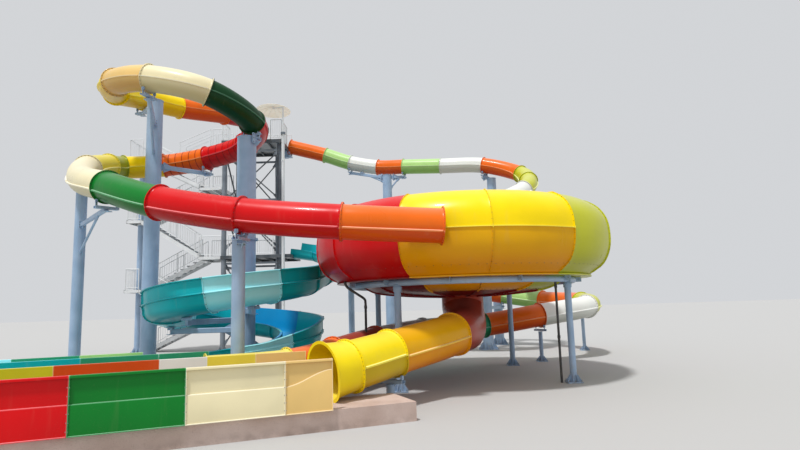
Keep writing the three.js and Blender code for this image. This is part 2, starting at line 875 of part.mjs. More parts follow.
const POST_A1 = [-3530, -12700];
const POST_A2 = [-2050, -11000];
const POST_A3 = [1490, -12100];
const POST_A4 = [2640, -16960];
const POST_B1 = [5810, 700];
const POST_B2 = [11390, -500];
const POST_B3 = [HELIX_B[0], HELIX_B[1]];
const POST_C1 = [4230, -5200];

function keepPost(name, place, made) {
  keep(postsGroup, name, made, POST_PAINT, place);
}

const headA1 = slideA.cradle(16.4, 110, 120);
keepPost(
  "post_a_1",
  POST_A1,
  join([
    post(POST_A1, 165, headA1.foot.z),
    headA1.made,
    ...arm(POST_A1, slideA.cradle(18), 120, { strut: 900 }),
  ]),
);
keepPost(
  "post_a_2",
  POST_A2,
  join([
    post(POST_A2, 260, 9560),
    ...arm(POST_A2, slideA.cradle(8), 150, { strut: 1150 }),
    ...arm(POST_A2, slideA.cradle(5), 140),
    ...arm(POST_A2, slideA.cradle(12), 140),
  ]),
);

const FLUME_ARMS = [60, 115, 180, 300, 375]; // degrees round the flume's spiral
const flumeArms = FLUME_ARMS.map((degrees) => {
  const [x, y, z] = helixC(degrees);
  const low = z - 290;
  return join([
    bar([...POST_A3, low], [x, y, low], 110, 160),
    box(x - 110, x + 110, y - 110, y + 110, low - 60, z + 40),
  ]);
});
keepPost(
  "post_a_3",
  POST_A3,
  join([post(POST_A3, 305, 7790), ...arm(POST_A3, slideA.cradle(10), 200), ...flumeArms]).subtract(
    slideC.room(C_HELIX_START, 20),
  ),
);
keepPost("post_a_4", POST_A4, join([post(POST_A4, 155, 3860), ...arm(POST_A4, slideA.cradle(20), 150)]));
keepPost(
  "post_b_1",
  POST_B1,
  join([
    post(POST_B1, 250, 9320),
    ...arm(POST_B1, slideB.cradle(2), 150, { strut: 850, fall: 560 }),
    ...arm(POST_B1, slideB.cradle(4), 150, { strut: 850 }),
  ]).subtract(slideB.room(1, 5)),
);
keepPost(
  "post_b_2",
  POST_B2,
  join([post(POST_B2, 235, 8700), ...arm(POST_B2, slideB.cradle(6), 170, { fall: 220 })]).subtract(
    slideB.room(5, 8),
  ),
);
const HELIX_B_ARMS = [10, 13, 15, 17, 19];
keepPost(
  "post_b_3",
  POST_B3,
  join([
    post(POST_B3, 250, 6100),
    ...HELIX_B_ARMS.flatMap((joint) => arm(POST_B3, slideB.cradle(joint), 150)),
  ]),
);

// Low trestles under the last sections of slide B and the exit tube
function keepTrestle(name, tube, joint, radius) {
  const cradle = tube.cradle(joint, 120, 130);
  const { x, y, z } = cradle.foot;
  const made = join([cradle.made, pipeUp(x, y, 10, z + 20, radius, 10), basePlate(x, y, 180, 25)]);
  keepPost(name, [x, y], made);
}
keepTrestle("trestle_b_1", slideB, 21, 70);
keepTrestle("trestle_b_2", slideB, 23, 70);
keepTrestle("trestle_b_3", slideB, 26, 70);
keepTrestle("trestle_exit", exitTube, 4, 90);

// A post with a crossbeam under the flume's straight
const beamTop = slideC.path.at(4).place.z + 20;
const [beamX, beamY] = POST_C1;
const crossbeam = box(beamX - 330, beamX + 330, beamY - 100, beamY + 100, beamTop - 360, beamTop);
keepPost(
  "post_c_1",
  POST_C1,
  join([post(POST_C1, 130, beamTop - 320), crossbeam]).subtract(slideC.room(3, 5)),
);

// Tower

const frontLeft = [-TOWER_WIDTH, 0];
const frontRight = [0, 0];
const backLeft = [-TOWER_WIDTH, TOWER_DEPTH];
const backRight = [BACK_RIGHT_SHIFT, TOWER_DEPTH];
const DECK_DEPTH = 200;
const COLUMN_TOP = TOP_DECK - DECK_DEPTH - SEAM;
const H_HALF = H_COLUMN / 2;
const H_FLANGE = 22;
const H_WEB = 9; // half the web's thickness

function hColumn(x, y) {
  return join([
    box(x - H_HALF, x - H_HALF + H_FLANGE, y - H_HALF, y + H_HALF, 0, COLUMN_TOP),
    box(x + H_HALF - H_FLANGE, x + H_HALF, y - H_HALF, y + H_HALF, 0, COLUMN_TOP),
    box(x - H_HALF, x + H_HALF, y - H_WEB, y + H_WEB, 0, COLUMN_TOP),
    basePlate(x, y, H_HALF * 1.2),
  ]);
}

function pipeColumn(x, y) {
  return join([pipeUp(x, y, 0, COLUMN_TOP, PIPE_COLUMN), basePlate(x, y, 240)]);
}

// Heights of the braced bays under the decks
const BAYS = [
  [250, 4600],
  [5350, 8000],
  [8000, 10750],
];
const BRACE = 70;

// Crossed braces and a rail in each bay between two columns.
function braced(a, b) {
  return BAYS.flatMap(([low, high]) => [
    bar([...a, low], [...b, high], BRACE),
    bar([...b, low], [...a, high], BRACE),
    bar([...a, high], [...b, high], 90, 110),
  ]);
}

// A rail and a brace in each bay of one side.
// They are fixed to the column at one end and seated on the one at the other.
function sideBracing([x, fixed], [seatX, seat], plate) {
  const inward = Math.sign(fixed - seat);
  const [near, far] = [seat, seat + 55 * inward].sort((a, b) => a - b);
  return BAYS.flatMap(([low, high]) => [
    bar([x, fixed, high - 160], [seatX, seat + 25 * inward, high - 160], 80, 120),
    bar([x, fixed, low + 150], [seatX, seat + 48 * inward, high - 160], BRACE),
    box(seatX - plate, seatX + plate, near, far, high - 900, high - 60),
  ]);
}

keep(
  towerGroup,
  "tower_front",
  join([
    hColumn(...frontRight),
    pipeColumn(...frontLeft),
    ...braced(frontLeft, frontRight),
    ...sideBracing(frontRight, [backRight[0], TOWER_DEPTH - H_HALF - SEAM], H_HALF - 5),
  ]),
  TOWER_PAINT,
);
keep(
  towerGroup,
  "tower_back",
  join([
    hColumn(...backRight),
    pipeColumn(...backLeft),
    ...braced(backLeft, backRight),
    ...sideBracing(backLeft, [-TOWER_WIDTH, PIPE_COLUMN + SEAM], 55),
  ]),
  TOWER_PAINT,
);

const RAIL_POST = 24; // half width
const RAIL_SPACING = 1500;

// A guard rail between points on a deck: posts and two rails.
function guard(points, z) {
  const parts = [];
  for (let i = 0; i + 1 < points.length; i++) {
    const [a, b] = [points[i], points[i + 1]];
    const count = Math.max(1, Math.round(Math.hypot(b[0] - a[0], b[1] - a[1]) / RAIL_SPACING));
    for (let k = i ? 1 : 0; k <= count; k++) {
      const x = THREE.MathUtils.lerp(a[0], b[0], k / count);
      const y = THREE.MathUtils.lerp(a[1], b[1], k / count);
      parts.push(box(x - RAIL_POST, x + RAIL_POST, y - RAIL_POST, y + RAIL_POST, z - 60, z + GUARD));
    }
    for (const height of [GUARD / 2 + 10, GUARD - 20])
      parts.push(bar([...a, z + height], [...b, z + height], 40));
  }
  return parts;
}

// A floor plate with an edge beam along each side.
function deckPlate(x0, x1, y0, y1, z, depth) {
  const beam = 80;
  return join([
    box(x0, x1, y0, y1, z - 45, z),
    box(x0, x1, y0, y0 + beam, z - depth, z - 20),
    box(x0, x1, y1 - beam, y1, z - depth, z - 20),
    box(x0, x0 + beam, y0, y1, z - depth, z - 20),
    box(x1 - beam, x1, y0, y1, z - depth, z - 20),
  ]);
}

const deckLeft = -TOWER_WIDTH - 150;
const deckRight = 150;
const deckFront = -170;
const deckBack = TOWER_DEPTH + 170;
const railLeft = deckLeft + 40;
const railRight = deckRight - 40;
const railFront = deckFront + 50;
const railBack = deckBack - 50;
const landingBack = LANE_BACK + LANE_WIDTH;
const START_ROOM = 200; // free length in front of a tube's mouth
const startB = slideB.cradle(0);
keep(
  towerGroup,
  "top_platform",
  join([
    slideA.cradle(0).made,
    startB.made,
    box(-160, deckRight - 80, 1800, 2200, startB.foot.z - 60, TOP_DECK - 100),
    bar([20, 1999, startB.foot.z], startB.foot.toArray(), 260, 110),
    deckPlate(deckLeft, deckRight, deckFront, deckBack, TOP_DECK, DECK_DEPTH),
    ...guard([[-1600, railFront], [railLeft, railFront], [railLeft, 1180]], TOP_DECK),
    ...guard([[railLeft, 2330], [railLeft, railBack], [railRight, railBack]], TOP_DECK),
    ...guard([[railRight, 1350], [railRight, railFront], [-480, railFront]], TOP_DECK),
  ])
    .subtract(slideA.bore(0, 1, START_ROOM))
    .subtract(slideB.bore(0, 1, START_ROOM))
    .subtract(slideB.room(0, 1)),
  RAIL_PAINT,
);

// The middle platform stands around the columns, with room left for each.
const ROOM_LOW = 4600;
const ROOM_HIGH = 6300;
const PIPE_ROOM = PIPE_COLUMN + CLEAR * 1.2;
const H_ROOM = H_HALF + CLEAR;
const columnRooms = join([
  ...[frontRight, backRight].map(([x, y]) =>
    box(x - H_ROOM, x + H_ROOM, y - H_ROOM, y + H_ROOM, ROOM_LOW, ROOM_HIGH),
  ),
  ...[frontLeft, backLeft].map(([x, y]) => pipeUp(x, y, ROOM_LOW, ROOM_HIGH, PIPE_ROOM)),
]);
const midLeft = deckLeft + 20;
const midRight = deckRight + 460;
const midFront = -160;
const midBack = TOWER_DEPTH + 160;
const midRails = [
  [-350, midFront + 50],
  [-900, midBack - 50],
].flatMap(([x, y]) => guard([[x, y], [midLeft + 400, y]], MID_DECK));
const midPlatform = join([
  deckPlate(midLeft, midRight, midFront, midBack, MID_DECK, 180),
  ...midRails,
]);
keep(towerGroup, "mid_platform", midPlatform.subtract(columnRooms).subtract(slideC.room(0, 2)), RAIL_PAINT);

// Sun shade over the top platform, on a riser pipe beside the front right column
const SHADE = [-420, 250];
const SHADE_RIM = 960;
const SHADE_HEIGHT = 13050;
const SHADE_TILT = -5.4; // degrees, with the front edge up
const RISER_TOP = 11600; // above it a thin pole carries the shade
const RISER = [235, -280];
const riserClamps = [3000, 6800, 10000].map((z) =>
  box(H_HALF + SEAM, RISER[0], RISER[1] + 60, -70, z, z + 120),
);
// A low dome: its outline runs from the middle of the underside to the crown.
const domeOutline = [
  [0, 0],
  [SHADE_RIM, 0],
  [SHADE_RIM - 80, 150],
  [240, 280],
  [0, 280],
].map(([r, z]) => new THREE.Vector2(r, z));
const dome = new THREE.LatheGeometry(domeOutline, 20).rotateX(Math.PI / 2 + rad(SHADE_TILT));
keep(
  towerGroup,
  "sun_shade",
  join([
    pipeUp(...RISER, 10, RISER_TOP, 85),
    pipeUp(...RISER, RISER_TOP - 70, RISER_TOP + 50, 130),
    pipeUp(...RISER, RISER_TOP, SHADE_HEIGHT + 90, 40),
    basePlate(...RISER, 95, 20),
    ...riserClamps,
    pipe([...RISER, SHADE_HEIGHT - 60], [...SHADE, SHADE_HEIGHT + 100], 45),
    solidOf(dome.translate(...SHADE, SHADE_HEIGHT)),
  ]),
  SHADE_WHITE,
  RISER,
);

// Stair

const COLUMN_RADIUS = 150;
const columnRoom = pipeUp(...STAIR_COLUMN, 0, 10700, COLUMN_RADIUS + CLEAR);
const stairColumn = join([pipeUp(...STAIR_COLUMN, 0, 10600, COLUMN_RADIUS), basePlate(...STAIR_COLUMN, 260)]);
keep(stairGroup, "stair_column", stairColumn, POST_PAINT);

const RISE = 180;
const SLAB = 230;
const HANDRAIL_ENDS = [0.06, 0.94]; // where a handrail's posts stand along a flight

// A slab with steps on top and a handrail on each side, climbing from one end to the other.
function flight(x0, z0, x1, z1, y) {
  const count = Math.max(2, Math.round((z1 - z0) / RISE));
  const going = (x1 - x0) / count;
  const rise = (z1 - z0) / count;
  const drawing = [];
  for (let k = 0; k < count; k++) {
    const z = z0 + rise * (k + 1);
    drawing.push([x0 + going * k, z], [x0 + going * (k + 1), z]);
  }
  drawing.push([x1, z1 - SLAB], [x0, z0 + rise - SLAB]);
  const ring = (side) => drawing.map(([x, z]) => new THREE.Vector3(x, side, z));
  const parts = [cappedRings([ring(y), ring(y + LANE_WIDTH)], drawing)];
  for (const side of [y + 25, y + LANE_WIDTH - 25]) {
    const [a, b] = HANDRAIL_ENDS.map((f) => [x0 + (x1 - x0) * f, side, z0 + (z1 - z0) * f + rise]);
    for (const [px, , pz] of [a, b])
      parts.push(box(px - 20, px + 20, side - 20, side + 20, pz - 150, pz + GUARD - 100));
    for (const height of [500, GUARD - 110])
      parts.push(bar([a[0], side, a[2] + height], [b[0], side, b[2] + height], 36));
  }
  return parts;
}

const LANDING_DEPTH = 160;
const LANDING_EDGE = midLeft - SEAM;
const INSET = 30; // from a landing's edge to its rail

function leftLanding(z) {
  const [front, back] = [LANE_FRONT + INSET, landingBack - INSET];
  const corners = [[STAIR_LEFT - 40, front], [STAIR_END + INSET, front], [STAIR_END + INSET, back]];
  return [
    deckPlate(STAIR_END, STAIR_LEFT, LANE_FRONT, landingBack, z, LANDING_DEPTH),
    ...guard([...corners, [STAIR_LEFT - 40, back]], z),
  ];
}

// A landing beside the tower, held by brackets that are shaped round the tower's left columns.
function rightLanding(z) {
  const sides = [STAIR_RIGHT + 40, LANDING_EDGE - 40];
  const rails = [LANE_FRONT + INSET, landingBack - INSET].flatMap((y) =>
    guard(sides.map((x) => [x, y]), z),
  );
  const plate = deckPlate(STAIR_RIGHT, LANDING_EDGE, LANE_FRONT, landingBack, z, LANDING_DEPTH);
  if (z === MID_DECK) return [plate, ...rails];
  const brackets = [
    [-60, LANE_FRONT + 55],
    [TOWER_DEPTH - 420, TOWER_DEPTH + 60],
  ].map(([y0, y1]) => box(LANDING_EDGE - 170, -3010, y0, y1, z - LANDING_DEPTH, z - 60));
  const rest = box(-3080, -3000, 130, TOWER_DEPTH - 115, z - DECK_DEPTH, z);
  return [plate, ...rails, ...brackets.map((made) => made.subtract(rest))];
}

// Floor heights of the landings, from the ground up; odd ones lie at the tower's side.
const LANDINGS = [0, 1600, 3370, MID_DECK, 7100, 8800, 10500];
const towerRoom = join([frontLeft, backLeft].map(([x, y]) => pipeUp(x, y, 0, 11000, PIPE_ROOM)));
for (let i = 1; i < LANDINGS.length; i++) {
  const toRight = i % 2 === 1;
  const lane = toRight ? LANE_BACK : LANE_FRONT;
  const x0 = toRight ? STAIR_LEFT : STAIR_RIGHT;
  const x1 = toRight ? STAIR_RIGHT : STAIR_LEFT;
  const landing = toRight ? rightLanding(LANDINGS[i]) : leftLanding(LANDINGS[i]);
  const step = Math.sign(x1 - x0);
  const climb = flight(x0 + step * SEAM, LANDINGS[i - 1], x1 + step * 20, LANDINGS[i], lane);
  let made = join([...climb, ...landing]).subtract(toRight ? towerRoom : columnRoom);
  if (i === 1) made = made.subtract(box(STAIR_END, STAIR_RIGHT, 0, TOWER_DEPTH, -SLAB, 0));
  keep(stairGroup, "stair_" + i, made, RAIL_PAINT);
}

// The last flight turns on to a walk that is level with the top platform.
const WALK_TURN = -6100;
const WALK_RISE_END = -4100;
const walkRails = [LANE_BACK + INSET, landingBack - INSET].flatMap((y) =>
  guard([[WALK_RISE_END, y], [deckLeft - 60, y]], TOP_DECK),
);
const lastLanding = LANDINGS[LANDINGS.length - 1];
const topWalk = join([
  deckPlate(STAIR_LEFT + SEAM, WALK_TURN + 20, LANE_BACK, landingBack, lastLanding, LANDING_DEPTH),
  ...flight(WALK_TURN, lastLanding, WALK_RISE_END, TOP_DECK, LANE_BACK),
  deckPlate(WALK_RISE_END - 20, deckLeft - SEAM, LANE_BACK, landingBack, TOP_DECK, LANDING_DEPTH),
  ...walkRails,
]);
keep(stairGroup, "stair_7", topWalk, RAIL_PAINT);

export default site;
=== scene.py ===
"""Looks of a water slide tower: moulded slides, bowl, run-out lanes, posts, stair tower and shade.

Everything is in metres, +Z up. The origin is the foot of the tower's front right column.
"""

import json
import logging
import math
from collections.abc import Callable, Iterable, Sequence
from dataclasses import dataclass, field
from enum import Enum

import bpy
import numpy as np
from mathutils import Matrix, Vector


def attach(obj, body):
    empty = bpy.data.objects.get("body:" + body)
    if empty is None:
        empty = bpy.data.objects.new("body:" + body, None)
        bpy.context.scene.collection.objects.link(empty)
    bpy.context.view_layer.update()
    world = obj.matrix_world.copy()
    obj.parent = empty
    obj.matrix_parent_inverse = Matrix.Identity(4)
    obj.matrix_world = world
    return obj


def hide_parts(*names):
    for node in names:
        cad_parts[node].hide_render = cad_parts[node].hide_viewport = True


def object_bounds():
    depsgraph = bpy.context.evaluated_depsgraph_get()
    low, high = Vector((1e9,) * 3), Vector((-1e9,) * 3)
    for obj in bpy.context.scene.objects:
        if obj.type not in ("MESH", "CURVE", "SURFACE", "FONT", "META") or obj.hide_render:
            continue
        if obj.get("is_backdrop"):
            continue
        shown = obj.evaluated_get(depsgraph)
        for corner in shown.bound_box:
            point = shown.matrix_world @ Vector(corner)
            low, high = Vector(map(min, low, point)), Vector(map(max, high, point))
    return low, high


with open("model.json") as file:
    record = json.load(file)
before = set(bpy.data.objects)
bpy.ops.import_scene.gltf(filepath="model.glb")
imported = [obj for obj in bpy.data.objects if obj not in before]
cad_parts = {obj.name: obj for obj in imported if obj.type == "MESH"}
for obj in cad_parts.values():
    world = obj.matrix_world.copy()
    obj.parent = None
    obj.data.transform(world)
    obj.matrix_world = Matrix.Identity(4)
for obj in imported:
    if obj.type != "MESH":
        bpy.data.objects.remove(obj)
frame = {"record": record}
CAD_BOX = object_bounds()
SLOTS = {part["node"]: part["material_slot"] for part in frame["record"]["subparts"]}
log = logging.getLogger("slide_tower")

UP = np.array([0.0, 0.0, 1.0])
SHARP_ANGLE = math.radians(34)
JOINT_GAP = 0.0015  # half the gap between two flange plates
SEAT_RISE = 0.145  # from a flume seat's foot to the flume's line
DECK_DEPTH = 0.16  # of a stair landing's channels
CLEAR = 0.0003  # between pieces that stand face to face


def unit(vector: np.ndarray) -> np.ndarray:
    """Returns the vector at length one."""
    return vector / np.linalg.norm(vector)


def polar(centre: Sequence[float], radius: float, degrees: float, z: float) -> np.ndarray:
    """Returns a point at an angle round a centre."""
    a = math.radians(degrees)
    return np.array([centre[0] + radius * math.cos(a), centre[1] + radius * math.sin(a), z])


def circle(sides: int, radius: float = 1.0) -> np.ndarray:
    """Returns the points of a circle, from its top, to the side and up."""
    turns = np.radians(np.arange(sides) * 360 / sides)
    return np.column_stack([np.sin(turns), np.cos(turns)]) * radius


def rectangle(left: float, right: float, low: float, high: float) -> list[tuple[float, float]]:
    """Returns the corners of a rectangle."""
    return [(left, low), (right, low), (right, high), (left, high)]


# Shader maths


class Link:
    """One output of a shader node, which takes part in sums."""

    def __init__(self, shader: "Shader", socket: bpy.types.NodeSocket) -> None:
        """Keeps the shader that new nodes go to, and the socket."""
        self.shader = shader
        self.socket = socket

    def maths(self, operation: str, *values: "Link | float") -> "Link":
        """Adds a Math node on the given values.

        Args:
            operation: the node's operation.
            values: links or numbers for its sockets.

        Returns:
            The node's output.
        """
        return self.shader.node("ShaderNodeMath", {"operation": operation}, dict(enumerate(values)))

    def __add__(self, other: "Link | float") -> "Link":
        """Returns self + other."""
        return self.maths("ADD", self, other)

    __radd__ = __add__

    def __sub__(self, other: "Link | float") -> "Link":
        """Returns self - other."""
        return self.maths("SUBTRACT", self, other)

    def __rsub__(self, other: "Link | float") -> "Link":
        """Returns other - self."""
        return self.maths("SUBTRACT", other, self)

    def __mul__(self, other: "Link | float") -> "Link":
        """Returns self * other."""
        return self.maths("MULTIPLY", self, other)

    __rmul__ = __mul__

    def within(self, low: float, high: float, start: float = 0.0, end: float = 1.0) -> "Link":
        """Maps low..high to start..end smoothly, with the ends held."""
        names = {"Value": self, "From Min": low, "From Max": high, "To Min": start, "To Max": end}
        return self.shader.node("ShaderNodeMapRange", {"interpolation_type": "SMOOTHSTEP"}, names)


class Shader:
    """A material whose nodes are added one call at a time."""

    def __init__(self, name: str) -> None:
        """Starts a material with a Principled shader and object coordinates in metres.

        Args:
            name: the material's name.
        """
        self.material = bpy.data.materials.new(name)
        self.material.use_nodes = True
        self.tree = self.material.node_tree
        self.surface = self.tree.nodes["Principled BSDF"]
        self.place = self.node("ShaderNodeTexCoord", output="Object")

    def node(
        self,
        kind: str,
        settings: dict | None = None,
        inputs: dict | None = None,
        output: str | int = 0,
    ) -> Link:
        """Adds a node.

        Args:
            kind: the node's type.
            settings: its own settings, made first; stops are a ramp's places and colours.
            inputs: a link or a value for each socket, by name or number.
            output: the output that is returned.

        Returns:
            That output.
        """
        made = self.tree.nodes.new(kind)
        for key, value in (settings or {}).items():
            if key != "stops":
                setattr(made, key, value)
                continue
            ramp = made.color_ramp.elements
            while len(ramp) < len(value):
                ramp.new(0.5)
            for element, (position, color) in zip(ramp, value):
                element.position, element.color = position, color
        for key, value in (inputs or {}).items():
            self.feed(made.inputs[key], value)
        return Link(self, made.outputs[output])

    def feed(self, socket: bpy.types.NodeSocket, value: "Link | float | Sequence[float]") -> None:
        """Gives a socket a link or a value of its own.

        Args:
            socket: a node's socket.
            value: a link, or the value it is set to.
        """
        if isinstance(value, Link):
            self.tree.links.new(value.socket, socket)
        else:
            socket.default_value = value

    def noise(self, scale: float, detail: float = 3.0, stretch: Sequence[float] = (1, 1, 1)) -> Link:
        """Returns a noise pattern with features of 1/scale metres, stretched along the axes.

        Args:
            scale: how many features lie in a metre.
            detail: how many finer layers it has.
            stretch: how long its features are along each axis.

        Returns:
            The pattern, from 0 to 1.
        """
        size = {"Vector": self.place, "Scale": tuple(1 / s for s in stretch)}
        place = self.node("ShaderNodeMapping", {"vector_type": "POINT"}, size)
        return self.node("ShaderNodeTexNoise", {}, {"Vector": place, "Scale": scale, "Detail": detail})

    def mix(self, factor: "Link | float", first: "Link | tuple", second: "Link | tuple") -> Link:
        """Returns a blend of two colours."""
        settings = {"data_type": "RGBA", "clamp_factor": True}
        return self.node("ShaderNodeMix", settings, {0: factor, 6: first, 7: second}, 2)

    def facing(self, axis: str) -> Link:
        """Returns one component of the surface's direction, from -1 to 1."""
        direction = self.node("ShaderNodeNewGeometry", output="Normal")
        return self.node("ShaderNodeSeparateXYZ", inputs={"Vector": direction}, output=axis)

    def height(self) -> Link:
        """Returns the height above the ground in metres."""
        return self.node("ShaderNodeSeparateXYZ", inputs={"Vector": self.place}, output="Z")

    def bump(self, height: Link, depth: float) -> None:
        """Feeds a height pattern to the surface's normal, depth in metres."""
        inputs = {"Height": height, "Distance": depth, "Strength": 1.0}
        self.feed(self.surface.inputs["Normal"], self.node("ShaderNodeBump", {}, inputs))

    def set(self, **values: "Link | float | Sequence[float]") -> None:
        """Sets sockets of the surface; an underscore in a name stands for a space."""
        for name, value in values.items():
            self.feed(self.surface.inputs[name.replace("_", " ")], value)


def linear(code: int) -> tuple[float, float, float, float]:
    """Returns a six-digit hexadecimal screen colour as a linear one."""
    channels = [(code >> shift & 255) / 255 for shift in (16, 8, 0)]
    return (*(c / 12.92 if c <= 0.04045 else ((c + 0.055) / 1.055) ** 2.4 for c in channels), 1.0)


def blend(first: tuple, second: tuple, share: float) -> tuple[float, ...]:
    """Returns a colour that lies a share of the way from the first to the second."""
    return tuple(a + (b - a) * share for a, b in zip(first, second))


DUST = linear(0xB9A98C)
WHITE = linear(0xFFFFFF)
BLACK = linear(0x101010)


@dataclass(frozen=True)
class Gelcoat:
    """Moulded glass fibre, dusty below; painted light makes its top paler and painted shade makes its
    underside deeper in colour.
    """

    code: int
    # How far upward faces are painted paler: painted light from above.
    top_light: float = 0.16
    # How far downward faces are painted darker: painted shade.
    shade: float = 0.34
    roughness: float = 0.27

    def material(self, name: str) -> bpy.types.Material:
        """Returns the finish as a material of that name.

        Args:
            name: the material's name.

        Returns:
            The material.
        """
        shader = Shader(name)
        colour = linear(self.code)
        mottled = shader.noise(0.9, 4)
        # Upward faces: painted light from above, paler in patches.
        top = shader.facing("Z").within(0.35, 1.0)
        # Downward faces: painted shade.
        under = shader.facing("Z").within(-0.05, -0.75)
        lit_top = blend(colour, WHITE, self.top_light)
        deep = blend(colour, BLACK, 0.08)
        base = shader.mix(mottled.within(0.35, 0.65), deep, colour)
        # Painted light: upward faces mixed towards the paler colour.
        base = shader.mix(top * mottled.within(0.2, 0.8, 0.5, 1.0), base, lit_top)
        strong = tuple(c * (0.55 + 0.45 * c / max(colour[:3])) for c in colour[:3])
        # Painted shade: downward faces take a deeper, darker colour.
        base = shader.mix(under, base, blend((*strong, 1.0), BLACK, self.shade))
        streaks = shader.noise(7.0, 3, (1, 1, 14)).within(0.58, 0.8)
        specks = shader.noise(55.0, 2).within(0.67, 0.75)
        stains = shader.noise(2.3).within(0.58, 0.82)
        grime = streaks * (1 - top) * 0.10 + specks * 0.12 + stains * top * 0.08
        base = shader.mix(grime, base, blend(DUST, colour, 0.35))
        shader.set(
            Base_Color=base,
            Roughness=self.roughness + grime * 0.6 + mottled.within(0.3, 0.7, 0.0, 0.08),
            Coat_Weight=0.07,
            Coat_Roughness=0.08,
            Specular_IOR_Level=0.18,
        )
        waves = shader.noise(1.6, 2) * 0.7 + shader.noise(38.0, 2) * 0.045
        shader.bump(waves, 0.010)
        return shader.material


@dataclass(frozen=True)
class Paint:
    """Painted steel with faint runs and patches, dirty at the foot."""

    code: int
    roughness: float = 0.42
    dirt: float = 0.35

    def material(self, name: str) -> bpy.types.Material:
        """Returns the finish as a material of that name.

        Args:
            name: the material's name.

        Returns:
            The material.
        """
        shader = Shader(name)
        colour = linear(self.code)
        patches = shader.noise(1.7, 5)
        runs = shader.noise(11.0, 3, (1, 1, 18)).within(0.5, 0.8)
        base = shader.mix(patches.within(0.3, 0.7), blend(colour, BLACK, 0.10), blend(colour, WHITE, 0.07))
        foot = shader.height().within(0.05, 0.7, 1.0, 0.0)
        dirt = (runs * 0.5 + foot * shader.noise(9.0).within(0.35, 0.75)) * self.dirt
        base = shader.mix(dirt, base, blend(DUST, BLACK, 0.45))
        shader.set(Base_Color=base, Roughness=self.roughness + dirt * 0.4)
        shader.bump(shader.noise(60.0, 3) * 0.3 + patches, 0.0012)
        return shader.material


@dataclass(frozen=True)
class Zinc:
    """Galvanised steel with its spangle."""

    code: int

    def material(self, name: str) -> bpy.types.Material:
        """Returns the finish as a material of that name.

        Args:
            name: the material's name.

        Returns:
            The material.
        """
        shader = Shader(name)
        cells = shader.node("ShaderNodeTexVoronoi", {}, {"Vector": shader.place, "Scale": 70.0}, "Color")
        grey = shader.node("ShaderNodeSeparateXYZ", inputs={"Vector": cells}, output="X")
        colour = linear(self.code)
        cloudy = shader.noise(5.0, 4).within(0.3, 0.7)
        base = shader.mix(grey * 0.6 + cloudy * 0.4, blend(colour, BLACK, 0.28), blend(colour, WHITE, 0.18))
        shader.set(Base_Color=base, Metallic=0.75, Roughness=0.38 + grey * 0.14 + cloudy * 0.1)
        shader.bump(grey, 0.0004)
        return shader.material


@dataclass(frozen=True)
class Concrete:
    """Painted concrete with pores and clouds, damp at the foot."""

    code: int

    def material(self, name: str) -> bpy.types.Material:
        """Returns the finish as a material of that name.

        Args:
            name: the material's name.

        Returns:
            The material.
        """
        shader = Shader(name)
        colour = linear(self.code)
        clouds = shader.noise(1.3, 6)
        pores = shader.noise(90.0, 2).within(0.62, 0.7)
        damp = shader.height().within(0.0, 0.2, 1.0, 0.0) * shader.noise(4.0).within(0.35, 0.7)
        base = shader.mix(clouds.within(0.3, 0.7), blend(colour, BLACK, 0.16), blend(colour, WHITE, 0.12))
        base = shader.mix(damp * 0.55 + pores * 0.3, base, blend(colour, BLACK, 0.55))
        shader.set(Base_Color=base, Roughness=0.82 + pores * 0.1)
        shader.bump(shader.noise(24.0, 6) - pores * 0.6, 0.004)
        return shader.material


@dataclass(frozen=True)
class Cloth:
    """Coated shade cloth with its weave and faint stains, and a painted glow that stands in for light
    shining through it.
    """

    code: int
    # Strength of the painted glow: painted light.
    glow: float = 0.30

    def material(self, name: str) -> bpy.types.Material:
        """Returns the finish as a material of that name.

        Args:
            name: the material's name.

        Returns:
            The material.
        """
        shader = Shader(name)
        colour = linear(self.code)
        stains = shader.noise(2.2, 5).within(0.4, 0.75)
        base = shader.mix(stains * 0.35, colour, blend(DUST, colour, 0.45))
        # The emission is painted light: a glow in place of daylight through the cloth.
        shader.set(
            Base_Color=base,
            Roughness=0.62 + stains * 0.15,
            Emission_Color=base,
            Emission_Strength=self.glow,
        )
        weave = shader.node("ShaderNodeTexChecker", {}, {"Vector": shader.place, "Scale": 420.0}, "Fac")
        shader.bump(weave * 0.25 + shader.noise(14.0, 3), 0.0012)
        return shader.material


@dataclass(frozen=True)
class Ground:
    """The studio's plain floor."""

    code: int

    def material(self, name: str) -> bpy.types.Material:
        """Returns the finish as a material of that name.

        Args:
            name: the material's name.

        Returns:
            The material.
        """
        shader = Shader(name)
        shader.set(Base_Color=linear(self.code), Roughness=0.9)
        return shader.material


